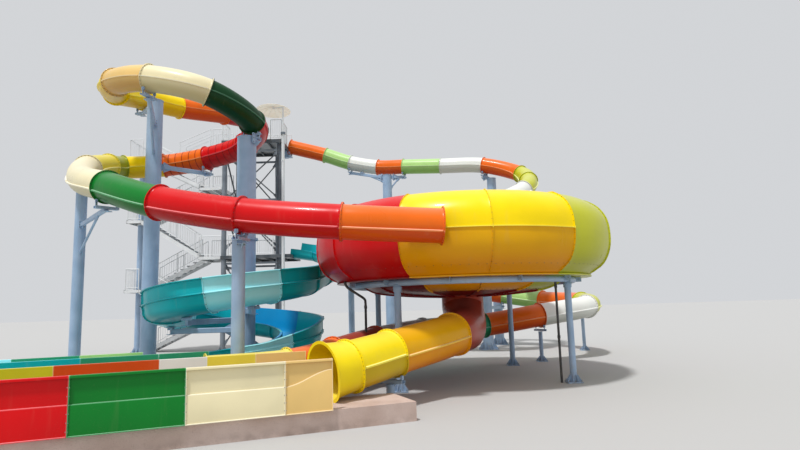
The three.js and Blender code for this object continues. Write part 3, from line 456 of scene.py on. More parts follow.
class Look(Enum):
    """The finishes of the tower and its slides."""

    GREEN = Gelcoat(0x087C28, 0.06)
    DARK_GREEN = Gelcoat(0x04401C, 0.03, 0.3, 0.42)
    TEAL_GREEN = Gelcoat(0x2F9C72, 0.14)
    PALE_GREEN = Gelcoat(0xB4DC88, 0.12)
    RED = Gelcoat(0xD8080E, 0.04)
    DEEP_RED = Gelcoat(0x8C0C0E, 0.03)
    RUST = Gelcoat(0xA83412, 0.06)
    # A darker orange: painted shade, a lane wall in its lip's shadow.
    BURNT_ORANGE = Gelcoat(0xD2501A, 0.06)
    ORANGE = Gelcoat(0xF26E16, 0.08)
    # Amber: the exit tube's colour, and painted shade under the bowl's ledge.
    AMBER = Gelcoat(0xE8AC00, 0.03, 0.18)
    YELLOW = Gelcoat(0xFFDE00, 0.04)
    LEMON = Gelcoat(0xFFE410, 0.08)
    # Darker copies of lemon and amber: painted shade under the exit tube's ridge.
    MUSTARD = Gelcoat(0xD2B414, 0.03, 0.2)
    HONEY = Gelcoat(0xE99A08, 0.03, 0.2)
    LIGHT_YELLOW = Gelcoat(0xECDA4C, 0.10)
    LIME = Gelcoat(0xC6C828, 0.12)
    OLIVE = Gelcoat(0xA2A828, 0.10)
    TAN = Gelcoat(0xECC67C, 0.10)
    CREAM = Gelcoat(0xEFE3B8, 0.18)
    WHITE = Gelcoat(0xE6E8E0, 0.14)
    TURQUOISE = Gelcoat(0x06B6BE, 0.10, 0.24)
    PALE_CYAN = Gelcoat(0xAAF8FF, 0.20, 0.05)
    BLUE = Gelcoat(0x0A96CE, 0.08)
    POST = Paint(0x98B4D2)
    STEEL = Paint(0x6D7883, 0.45)
    DARK_STEEL = Paint(0x3E474F, 0.5)
    RAIL = Paint(0xE6E9EA, 0.4, 0.2)
    SHADE = Cloth(0xF4ECDC)
    BLACK_PIPE = Paint(0x1D1F21, 0.5)
    BOLT = Zinc(0x8A8D90)
    GRATING = Zinc(0x9CA2A6)
    DARK_BOLT = Zinc(0x4A3A34)
    PLINTH = Concrete(0xC9AFA2)

    def material(self) -> bpy.types.Material:
        """Returns this finish's material, made once."""
        name = self.name.lower()
        return bpy.data.materials.get(name) or self.value.material(name)

    @classmethod
    def row(cls, names: str) -> "list[Look]":
        """Returns the finishes that a line of names lists."""
        return [cls[name] for name in names.upper().split()]


@dataclass(frozen=True)
class LitLedge:
    """A finish painted pale along a moulded ledge: a painted highlight where the ledge catches the light."""

    look: Look

    def material(self) -> bpy.types.Material:
        """Returns the highlighted finish's material, made once.

        Returns:
            The material.
        """
        name = self.look.name.lower() + "_ledge"
        # Paler colour and stronger top light: a painted highlight.
        code = 0
        for shift in (16, 8, 0):
            pale = 0.30 + 0.72 * (self.look.value.code >> shift & 255) / 255
            code |= round(255 * min(1.0, pale)) << shift
        return bpy.data.materials.get(name) or Gelcoat(code, 0.3, 0.1).material(name)


Finish = Look | LitLedge


# Meshes


class Shape:
    """Gathers the faces of one piece, each with a finish, and makes its mesh."""

    def __init__(self, name: str) -> None:
        """Starts an empty piece.

        Args:
            name: the piece's name.
        """
        self.name = name
        self.points: list[np.ndarray] = []
        self.faces: list[tuple[int, ...]] = []
        self.looks: list[Finish] = []
        self.count = 0

    def add(self, points: np.ndarray, faces: Iterable[Sequence[int]], look: Look) -> None:
        """Adds points, and faces that count them from 0, in one finish.

        Args:
            points: their places.
            faces: the point numbers of each face.
            look: the finish.
        """
        faces = [tuple(i + self.count for i in face) for face in faces]
        self.points.append(np.asarray(points, float).reshape(-1, 3))
        self.faces += faces
        self.looks += [look] * len(faces)
        self.count += len(self.points[-1])

    def loft(self, rings: Sequence, look: Look, looped: bool = False) -> None:
        """Joins closed rings of points one to the next.

        Args:
            rings: the rings, each the same number of places.
            look: the finish.
            looped: whether the last ring joins the first; otherwise both ends are closed.
        """
        rings = np.asarray(rings, float)
        n, m, _ = rings.shape
        faces: list[tuple[int, ...]] = []
        for k in range(n if looped else n - 1):
            a, b = k * m, (k + 1) % n * m
            faces += [(a + i, a + (i + 1) % m, b + (i + 1) % m, b + i) for i in range(m)]
        if not looped:
            faces += [tuple(range(m))[::-1], tuple(range((n - 1) * m, n * m))]
        turn = self.volume(rings.reshape(-1, 3), faces) < 0
        self.add(rings, [face[::-1] for face in faces] if turn else faces, look)

    def recolour(self, start: int, look: Finish, chosen: Callable[[np.ndarray], bool]) -> None:
        """Gives another finish to each face from number start on whose middle is chosen.

        Args:
            start: the number of the first face.
            look: the other finish.
            chosen: tells whether a face is chosen by its middle.
        """
        points = np.concatenate(self.points)
        for i in range(start, len(self.faces)):
            if chosen(points[list(self.faces[i])].mean(0)):
                self.looks[i] = look

    @staticmethod
    def volume(points: np.ndarray, faces: Sequence[Sequence[int]]) -> float:
        """Returns six times the volume that closed faces hold, below zero where they face in.

        Args:
            points: their places.
            faces: the point numbers of each face.

        Returns:
            The volume times six.
        """
        points = points - points.mean(0)
        total = 0.0
        for face in faces:
            fan = points[list(face)]
            total += np.einsum("ij,ij->", np.cross(fan[1:-1], fan[2:]), np.tile(fan[0], (len(face) - 2, 1)))
        return total

    def box(self, low: Sequence[float], high: Sequence[float], look: Look, edge: float = 0.0) -> None:
        """Adds an upright block, with its four upright edges and its top and foot cut by edge.

        Args:
            low: its lowest corner.
            high: its highest corner.
            look: its finish.
            edge: how much is cut from an edge.
        """
        (x0, y0, z0), (x1, y1, z1) = low, high
        levels = [(z0, edge), (z0 + edge, 0), (z1 - edge, 0), (z1, edge)] if edge else [(z0, 0), (z1, 0)]
        rings = []
        for z, e in levels:
            c = edge + e
            a, b = (x0 + e, x1 - e), (y0 + e, y1 - e)
            if edge:
                flat = [(a[0] + c, b[0]), (a[1] - c, b[0]), (a[1], b[0] + c), (a[1], b[1] - c)]
                flat += [(a[1] - c, b[1]), (a[0] + c, b[1]), (a[0], b[1] - c), (a[0], b[0] + c)]
            else:
                flat = rectangle(*a, *b)
            rings.append([(x, y, z) for x, y in flat])
        self.loft(rings, look)

    def section(
        self,
        start: Sequence[float],
        end: Sequence[float],
        outline: Sequence[tuple[float, float]],
        look: Look,
        side: Sequence[float] | None = None,
    ) -> None:
        """Draws a section from start to end.

        Args:
            start: one end of its line.
            end: the other end.
            outline: places across it, to the side and up.
            look: the finish.
            side: the direction that counts as its side, level where left out.
        """
        a, b = np.asarray(start, float), np.asarray(end, float)
        along = unit(b - a)
        if side is None:
            reference = np.array([0.0, 1.0, 0.0]) if abs(along[2]) > 0.95 else UP
            across = unit(np.cross(along, reference))
        else:
            across = unit(np.asarray(side, float) - along * np.dot(side, along))
        rise = np.cross(across, along)
        ring = np.array([across * s + rise * r for s, r in outline])
        self.loft([a + ring, b + ring], look)

    def plate(self, ring: np.ndarray, axis: np.ndarray, thick: float, look: Look) -> None:
        """Adds a flat plate, its outline halfway between its two faces."""
        self.loft([ring - axis * (thick / 2), ring + axis * (thick / 2)], look)

    def bar(
        self, start: Sequence[float], end: Sequence[float], width: float, height: float, look: Look
    ) -> None:
        """Adds a bar with a rectangular section and cut corners.

        Args:
            start: one end.
            end: the other end.
            width: its width, level.
            height: its height.
            look: its finish.
        """
        w, h, c = width / 2, height / 2, min(width, height) * 0.12
        outline = [(-w + c, -h), (w - c, -h), (w, -h + c), (w, h - c)]
        outline += [(w - c, h), (-w + c, h), (-w, h - c), (-w, -h + c)]
        self.section(start, end, outline, look)

    def rod(
        self, start: Sequence[float], end: Sequence[float], radius: float, look: Look, sides: int = 12
    ) -> None:
        """Adds a round rod."""
        turns = [2 * math.pi * (i + 0.5) / sides for i in range(sides)]
        self.section(start, end, [(radius * math.cos(t), radius * math.sin(t)) for t in turns], look)

    def bolt(
        self, place: np.ndarray, axis: np.ndarray, radius: float, look: Look = Look.BOLT
    ) -> None:
        """Adds a six-sided bolt head that stands on a face, along an axis.

        Args:
            place: where it stands.
            axis: the direction it points in.
            radius: its radius to a corner.
            look: its finish.
        """
        axis = unit(np.asarray(axis, float))
        side = unit(np.cross(axis, UP if abs(axis[2]) < 0.9 else np.array([1.0, 0, 0])))
        rise = np.cross(side, axis)
        turns = np.radians(np.arange(6) * 60)[:, None]
        ring = np.cos(turns) * side + np.sin(turns) * rise
        foot = place - axis * 0.004
        head = [foot + ring * radius, place + axis * radius * 0.9 + ring * radius]
        self.loft(head, look)

    def turned(
        self,
        centre: Sequence[float],
        outline: np.ndarray,
        look: Look,
        steps: int = 24,
        start: float = 0.0,
        end: float = 360.0,
    ) -> None:
        """Turns an outline of radius and height round an upright axis.

        Args:
            centre: the axis's place on the ground.
            outline: radius and height of each corner of a closed section.
            look: the finish.
            steps: how many straight pieces go round.
            start: the first angle in degrees.
            end: the last one; a full turn closes on itself.
        """
        whole = abs(end - start - 360.0) < 1e-6
        angles = np.radians(np.linspace(start, end, steps + 1)[: steps if whole else None])
        r, z = np.asarray(outline, float).T
        x, y = centre[:2]
        rings = [np.column_stack([x + r * math.cos(a), y + r * math.sin(a), z]) for a in angles]
        self.loft(rings, look, looped=whole)

    def disc_stack(
        self, centre: Sequence[float], levels: Sequence[tuple[float, float]], look: Look, sides: int = 32
    ) -> None:
        """Stacks round levels of radius and height on an upright axis, closed at both ends.

        Args:
            centre: a place on the axis.
            levels: radius and height of each level.
            look: its finish.
            sides: how many sides it has.
        """
        turns = np.radians(np.arange(sides) * 360 / sides)
        x, y = centre[:2]
        rings = [
            np.column_stack([x + r * np.cos(turns), y + r * np.sin(turns), np.full(sides, z)])
            for r, z in levels
        ]
        self.loft(rings, look)

    def plain(self) -> bpy.types.Object:
        """Makes the mesh with its finishes, and links its object to the scene.

        Returns:
            The new object.
        """
        mesh = bpy.data.meshes.new(self.name)
        mesh.from_pydata(np.concatenate(self.points).tolist(), [], self.faces)
        order = {look: i for i, look in enumerate(dict.fromkeys(self.looks))}
        for look in order:
            mesh.materials.append(look.material())
        mesh.polygons.foreach_set("material_index", [order[look] for look in self.looks])
        made = bpy.data.objects.new(self.name, mesh)
        bpy.context.scene.collection.objects.link(made)
        return made

    def build(self, node: str = "") -> bpy.types.Object:
        """Makes the piece, lets it ride on the root and notes the solid it stands for.

        Args:
            node: the solid's name; nothing where the piece stands for none.

        Returns:
            The new object.
        """
        piece = self.plain()
        piece.data.polygons.foreach_set("use_smooth", [True] * len(self.faces))
        piece.data.set_sharp_from_angle(angle=SHARP_ANGLE)
        piece.data.validate()
        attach(piece, "root")
        SLOTS.get(node, "post_paint")
        if node:
            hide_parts(node)
        log.info("%s: %d faces, stands for %s", self.name, len(self.faces), node or "nothing")
        return piece


@dataclass
class Place:
    """A place on a path, with its direction and the two directions across it."""

    point: np.ndarray
    along: np.ndarray
    side: np.ndarray
    rise: np.ndarray

    def moved(self, distance: float) -> "Place":
        """Returns the place shifted along its direction."""
        return Place(self.point + self.along * distance, self.along, self.side, self.rise)

    def ring(self, drawing: np.ndarray) -> np.ndarray:
        """Returns a drawing's points, to the side and up, as points in space."""
        return self.point + drawing[:, :1] * self.side + drawing[:, 1:] * self.rise


class Path:
    """A smooth line through a slide's joints, the centripetal spline of the solids."""

    def __init__(self, joints: Sequence[Sequence[float]], level: bool = True) -> None:
        """Keeps the joints.

        Args:
            joints: their places.
            level: whether its sides are level; otherwise they point to the right of its overall run.
        """
        self.joints = np.array(joints, float)
        self.last = len(joints) - 1
        run = self.joints[-1] - self.joints[0]
        self.right = None if level else unit(np.array([run[1], -run[0], 0.0]))

    def at(self, joint: float) -> Place:
        """Returns the place at a joint number, which may lie between two joints.

        Args:
            joint: the joint number.

        Returns:
            The place there.
        """
        joint = min(max(joint, 0.0), float(self.last))
        k = min(int(joint), self.last - 1)
        t = joint - k
        p = self.joints
        before = p[k - 1] if k else 2 * p[0] - p[1]
        after = p[k + 2] if k + 2 <= self.last else 2 * p[-1] - p[-2]
        a, b = p[k], p[k + 1]
        d0, d1, d2 = (math.sqrt(np.linalg.norm(v)) for v in (a - before, b - a, after - b))
        first = ((a - before) / d0 - (b - before) / (d0 + d1) + (b - a) / d1) * d1
        second = ((b - a) / d1 - (after - a) / (d1 + d2) + (after - b) / d2) * d1
        square = -3 * a + 3 * b - 2 * first - second
        cube = 2 * a - 2 * b + first + second
        along = unit(first + 2 * square * t + 3 * cube * t * t)
        right = np.cross(along, UP) if self.right is None else self.right - along * np.dot(self.right, along)
        side = unit(right)
        return Place(a + first * t + square * t * t + cube * t**3, along, side, np.cross(side, along))

    def length(self, start: float, end: float) -> float:
        """Returns the length between two joint numbers."""
        points = np.array([self.at(j).point for j in np.linspace(start, end, 9)])
        return float(np.linalg.norm(np.diff(points, axis=0), axis=1).sum())


@dataclass
class TubeSlide:
    """A closed tube of moulded sections, bolted flange to flange."""

    name: str
    path: Path
    looks: list[Look]
    stretches: list[tuple[str, int, int]]
    radius: float = 0.405
    radii: tuple[float, ...] = ()
    square: tuple[float, ...] = ()
    wall: float = 0.012
    lip: float = 0.054
    plate: float = 0.016
    ridge_out: float = 0.045
    ridge_half: float = 0.014
    ridge_drop: dict[int, float] = field(default_factory=dict)
    ribbed: tuple[int, ...] = ()
    plain: tuple[int, ...] = ()
    unridged: tuple[int, ...] = ()
    # Darker finishes below the ridge of some spans: painted shade.
    under: dict[int, Look] = field(default_factory=dict)
    sides: int = 52
    bolts: int = 26
    bolt: float = 0.011

    def size(self, joint: float) -> tuple[float, float]:
        """Returns the radius at a joint number, and how square the underside is there.

        Args:
            joint: the joint number.

        Returns:
            The radius, and the squareness from 0 to 1.
        """
        if not self.radii:
            return self.radius, 0.0
        steps = range(len(self.radii))
        return float(np.interp(joint, steps, self.radii)), float(np.interp(joint, steps, self.square))

    def outline(self, joint: float, angles: np.ndarray, out: np.ndarray | float = 0.0) -> np.ndarray:
        """Returns the section at a joint number: round, with its underside squared, and moved out.

        Args:
            joint: the joint number.
            angles: the angles of its points from the top.
            out: how far they stand out of the skin.

        Returns:
            Its points, to the side and up.
        """
        radius, square = self.size(joint)
        circle = np.column_stack([np.sin(angles), np.cos(angles)])
        power = 2 + 1.2 * square
        reach = np.where(circle[:, 1] < 0, (np.abs(circle) ** power).sum(1) ** (-1 / power), 1.0)
        return circle * (reach * (radius + out))[:, None]

    def angles(self, span: int) -> tuple[np.ndarray, np.ndarray]:
        """Returns the angles round a span's section from the top, and where its ridges stand out.

        Args:
            span: the span's number.

        Returns:
            The angles, and 1 where a ridge is.
        """
        drop = math.radians(90 + self.ridge_drop.get(span, 8.0))
        half = self.ridge_half / self.size(span)[0]
        turns = [2 * math.pi * i / self.sides for i in range(self.sides)]
        ridge = [drop - half * 1.5, drop - half, drop + half, drop + half * 1.5]
        ridge += [2 * math.pi - t for t in ridge]
        clear = [t for t in turns if all(abs(t - r) > half * 2 for r in ridge)]
        made = sorted([(t, 0.0) for t in clear] + [(t, float(i % 4 in (1, 2))) for i, t in enumerate(ridge)])
        return np.array(made)[:, 0], np.array(made)[:, 1]

    def flange(self, joint: int, inward: float, angles: np.ndarray, ridge: np.ndarray) -> list[np.ndarray]:
        """Returns the rings of a flange plate, from the joint's face to the skin beside it.

        Args:
            joint: the joint number.
            inward: 1 where the skin lies ahead of the joint, -1 where it lies behind.
            angles: the section's angles.
            ridge: how far the skin stands out at each.

        Returns:
            The rings.
        """
        place = self.path.at(joint)
        skin = self.outline(joint, angles, ridge)
        if joint in self.plain:
            return [place.ring(skin)]
        levels = [(JOINT_GAP, 1.0), (self.plate, 1.0), (self.plate + 0.003, 0.95)]
        levels += [(self.plate + 0.006, 0.25), (self.plate + 0.022, 0.06)]
        made = [
            place.moved(inward * d).ring(self.outline(joint, angles, self.lip * out)) for d, out in levels
        ]
        return [*made, place.moved(inward * (self.plate + 0.05)).ring(skin)]

    def span(self, shape: Shape, k: int) -> None:
        """Adds the moulded section between two joints, with a flange plate at each end.

        Args:
            shape: the piece it belongs to.
            k: the number of its first joint.
        """
        angles, ridge = self.angles(k)
        ridge = ridge * (0.0 if k in self.unridged else self.ridge_out)
        length = self.path.length(k, k + 1)
        steps = max(3, round(length / 0.22))
        margin = 0.12 / length
        rings = self.flange(k, 1.0, angles, ridge)
        middle = np.linspace(k + margin, k + 1 - margin, steps)
        rings += [self.path.at(j).ring(self.outline(j, angles, ridge)) for j in middle]
        rings += self.flange(k + 1, -1.0, angles, ridge)[::-1]
        outside = len(rings) * len(angles)
        gaps = [-JOINT_GAP, *[0.0] * (steps - 1), JOINT_GAP]
        for j, gap in zip(np.linspace(k, k + 1, steps + 1)[::-1], gaps):
            rings.append(self.path.at(j).moved(gap).ring(self.outline(j, angles, -self.wall)))
        first, start, count = shape.count, len(shape.faces), len(angles)
        shape.loft(rings, self.looks[k], looped=True)
        # Ridge faces take a painted highlight; below the ridge, spans listed in under take a darker finish,
        # painted shade.
        proud = set(np.flatnonzero(ridge).tolist())
        drop = math.radians(90 + self.ridge_drop.get(k, 8.0))
        low = set(np.flatnonzero(np.abs(angles - math.pi) < math.pi - drop).tolist())
        for i in range(start, len(shape.faces)):
            corners = [c - first for c in shape.faces[i]]
            if max(corners) >= outside:
                continue
            if proud & {c % count for c in corners}:
                shape.looks[i] = LitLedge(self.looks[k])
            elif k in self.under and {c % count for c in corners} <= low:
                shape.looks[i] = self.under[k]

    def joint_bolts(self, shape: Shape, joint: int) -> None:
        """Adds bolt heads and nuts round a flange pair, and its dark sealing line.

        Args:
            shape: the piece it belongs to.
            joint: the joint number.
        """
        place = self.path.at(joint)
        faces = [s for s in (-1.0, 1.0) if 0 < joint < self.path.last or s == (1.0 if joint == 0 else -1.0)]
        turns = 2 * math.pi * (np.arange(self.bolts) + 0.5) / self.bolts
        for spot in place.ring(self.outline(joint, turns, self.lip * 0.56)):
            for s in faces:
                shape.bolt(spot + place.along * s * self.plate, place.along * s, self.bolt, Look.DARK_BOLT)
        if 0 < joint < self.path.last:
            seal, edge = JOINT_GAP * 0.9, self.lip - 0.008
            section = ((-seal, edge), (seal, edge), (seal, 0.004), (-seal, 0.004))
            self.band(shape, joint, section, Look.DARK_BOLT)

    def ribs(self, shape: Shape, k: int) -> None:
        """Adds dark cross lines round a span.

        Args:
            shape: the piece it belongs to.
            k: the span's number.
        """
        for j in np.linspace(k, k + 1, 7)[1:-1]:
            section = ((-0.011, -0.004), (-0.010, 0.006), (0.010, 0.006), (0.011, -0.004))
            self.band(shape, j, section, Look.DEEP_RED)

    def band(self, shape: Shape, joint: float, section: Sequence[tuple[float, float]], look: Look) -> None:
        """Adds a band round the tube.

        Args:
            shape: the piece it belongs to.
            joint: its joint number.
            section: corners of its section, along the tube and out of the skin.
            look: its finish.
        """
        turns = np.linspace(0, 2 * math.pi, self.sides, endpoint=False)
        place = self.path.at(joint)
        rings = [place.moved(d).ring(self.outline(joint, turns, out)) for d, out in section]
        shape.loft(rings, look, looped=True)

    def build(self) -> list[bpy.types.Object]:
        """Makes each stretch as one piece, and the slide's bolts as another.

        Returns:
            The new pieces.
        """
        pieces = []
        for node, start, end in self.stretches:
            shape = Shape(node + "_skin")
            for k in range(start, end):
                self.span(shape, k)
                if k in self.ribbed:
                    self.ribs(shape, k)
            pieces.append(shape.build(node))
        bolts = Shape(self.name + "_bolts")
        for joint in range(self.path.last + 1):
            if joint not in self.plain:
                self.joint_bolts(bolts, joint)
        pieces.append(bolts.build())
        return pieces


# Slides

SLIDE_A = Path(
    [
        (-1.04, -0.1, 11.86), (-0.56, -2.4, 11.3), (-0.12, -5.0, 10.73), (-0.83, -7.1, 10.37),
        (-2.18, -8.5, 10.2), (-3.04, -9.8, 10.12), (-3.2, -11.5, 9.72), (-2.45, -13.0, 9.45),
        (-1.05, -13.75, 9.22), (0.74, -13.7, 8.75), (1.68, -12.2, 8.28), (1.0, -10.35, 8.06),
        (-0.66, -9.6, 7.8), (-2.29, -9.5, 7.59), (-3.6, -9.95, 7.45), (-3.74, -10.75, 7.3),
        (-3.77, -12.0, 6.92), (-2.97, -13.7, 6.17), (-1.3, -15.45, 5.51), (0.59, -16.6, 4.83),
        (2.77, -17.2, 4.36), (5.13, -17.48, 4.09), (7.43, -17.26, 3.96),
    ]
)
HELIX_B = (10.4, -3.3)
HELIX_B_RADIUS = 2.15
SLIDE_B = Path(
    [
        (0.18, 1.999, 11.47), (2.258, 1.9, 10.874), (3.71, 1.599, 10.302), (5.298, 1.3, 9.928),
        (6.742, 0.8, 9.791), (8.78, 0.199, 9.627), (10.995, -0.5, 9.415), (12.7, -1.65, 8.633),
        (12.76, -3.1, 7.95), (12.15, -4.65, 7.2),
        *[polar(HELIX_B, HELIX_B_RADIUS, -75 - 65 * i, 6.6 - 4.1 * i / 9) for i in range(10)],
        (13.2, -2.6, 2.2), (14.25, -5.2, 2.05), (13.6, -7.9, 1.9), (11.45, -9.15, 1.65),
        (9.35, -9.6, 1.37), (7.1, -11.35, 1.29), (5.65, -13.7, 1.16), (4.7, -15.8, 1.0),
        (3.82, -17.15, 0.86), (2.23, -17.95, 0.83),
    ]
)
FLUME_END = 3.3
EXIT = Path(
    [
        (8.28, -12.8, 2.38985), (8.28, -12.8, 2.08), (8.23, -13.7, 1.54), (7.68, -15.45, 1.4),
        (6.13, -17.35, 1.13), (5.29, -18.43, 0.99), (4.84, -18.8, 0.93),
    ],
    level=False,
)
EXIT_RADII = (0.625, 0.625, 0.59, 0.504, 0.488, 0.495, 0.55)
EXIT_SQUARE = (0.0, 0.0, 0.3, 0.7, 1.0, 1.0, 1.0)

A_LOOKS = Look.row(
    "dark_green red red orange yellow yellow yellow tan cream dark_green red "
    "red orange yellow olive light_yellow cream cream green red red orange"
)
B_LOOKS = Look.row(
    "orange pale_green white orange pale_green white orange lime lime white "
    + "pale_green white orange " * 3
    + "pale_green orange lime white orange teal_green white rust orange light_yellow"
)


def closed_slides() -> list[TubeSlide]:
    """Returns the two closed slides and the bowl's exit tube.

    Returns:
        Slide A, slide B and the exit tube.
    """
    slide_a = TubeSlide(
        "slide_a",
        SLIDE_A,
        A_LOOKS,
        [
            ("slide_a_0", 0, 2), ("slide_a_1", 2, 4), ("slide_a_2", 4, 8),
            ("slide_a_3", 8, 12), ("slide_a_4", 12, 16), ("slide_a_5", 16, 21),
        ],
        ridge_drop={16: 14.0, 17: 16.0, 18: 18.0, 19: 22.0, 20: 24.0, 21: 24.0},
        ribbed=(11, 12),
        plain=(17,),
    )
    slide_b = TubeSlide(
        "slide_b",
        SLIDE_B,
        B_LOOKS,
        [
            ("slide_b_0", 0, 2), ("slide_b_1", 2, 4), ("slide_b_2", 4, 8),
            ("slide_b_3", 8, 13), ("slide_b_4", 13, 19), ("slide_b_5", 19, 22),
            ("slide_b_6", 22, 24), ("slide_b_7", 24, 29),
        ],
    )
    exit_tube = TubeSlide(
        "exit",
        EXIT,
        Look.row("rust rust rust amber lemon lemon"),
        [("exit_elbow", 0, 3), ("exit_tube", 3, 6)],
        radius=0.625,
        radii=EXIT_RADII,
        square=EXIT_SQUARE,
        plain=(1, 2),
        ridge_drop={3: 6.0, 4: 1.0},
        # Darker finishes below the ridge: painted shade.
        under={3: Look.HONEY, 4: Look.MUSTARD},
        ridge_out=0.05,
        unridged=(0, 1, 2, 5),
        sides=64,
        bolts=40,
        lip=0.05,
        plate=0.014,
        bolt=0.008,
    )
    return [slide_a, slide_b, exit_tube]


def smooth(points: Sequence[Sequence[float]], steps: int = 4) -> np.ndarray:
    """Returns a smooth line through points, with steps pieces between each two.

    Args:
        points: what it runs through.
        steps: how many pieces lie between two points.

    Returns:
        The line's points.
    """
    p = np.array(points, float)
    p = np.vstack([2 * p[0] - p[1], p, 2 * p[-1] - p[-2]])
    made = []
    for k in range(1, len(p) - 2):
        a, b, c, d = p[k - 1 : k + 3]
        square, cube = a - 2.5 * b + 2 * c - d / 2, 1.5 * (b - c) + (d - a) / 2
        made += [b + (c - a) * t / 2 + square * t**2 + cube * t**3 for t in np.arange(steps) / steps]
    return np.array([*made, p[-2]])


def outward(line: np.ndarray, distance: np.ndarray | float) -> np.ndarray:
    """Returns a flat line moved to its right by a distance.

    Args:
        line: its points.
        distance: one distance, or one for each point.

    Returns:
        The moved points.
    """
    run = np.gradient(line, axis=0)
    run /= np.linalg.norm(run, axis=1)[:, None]
    return line + np.column_stack([run[:, 1], -run[:, 0]]) * np.reshape(distance, (-1, 1))


def cut(piece: bpy.types.Object, cutter: bpy.types.Object) -> None:
    """Takes one mesh away from another and deletes it.

    Args:
        piece: the mesh that is cut.
        cutter: the mesh that is taken away.
    """
    change = piece.modifiers.new("cut", "BOOLEAN")
    change.operation, change.solver, change.object = "DIFFERENCE", "EXACT", cutter
    graph = bpy.context.evaluated_depsgraph_get()
    mesh = bpy.data.meshes.new_from_object(piece.evaluated_get(graph))
    piece.modifiers.clear()
    piece.data = mesh
    mesh.set_sharp_from_angle(angle=SHARP_ANGLE)
    bpy.data.objects.remove(cutter)


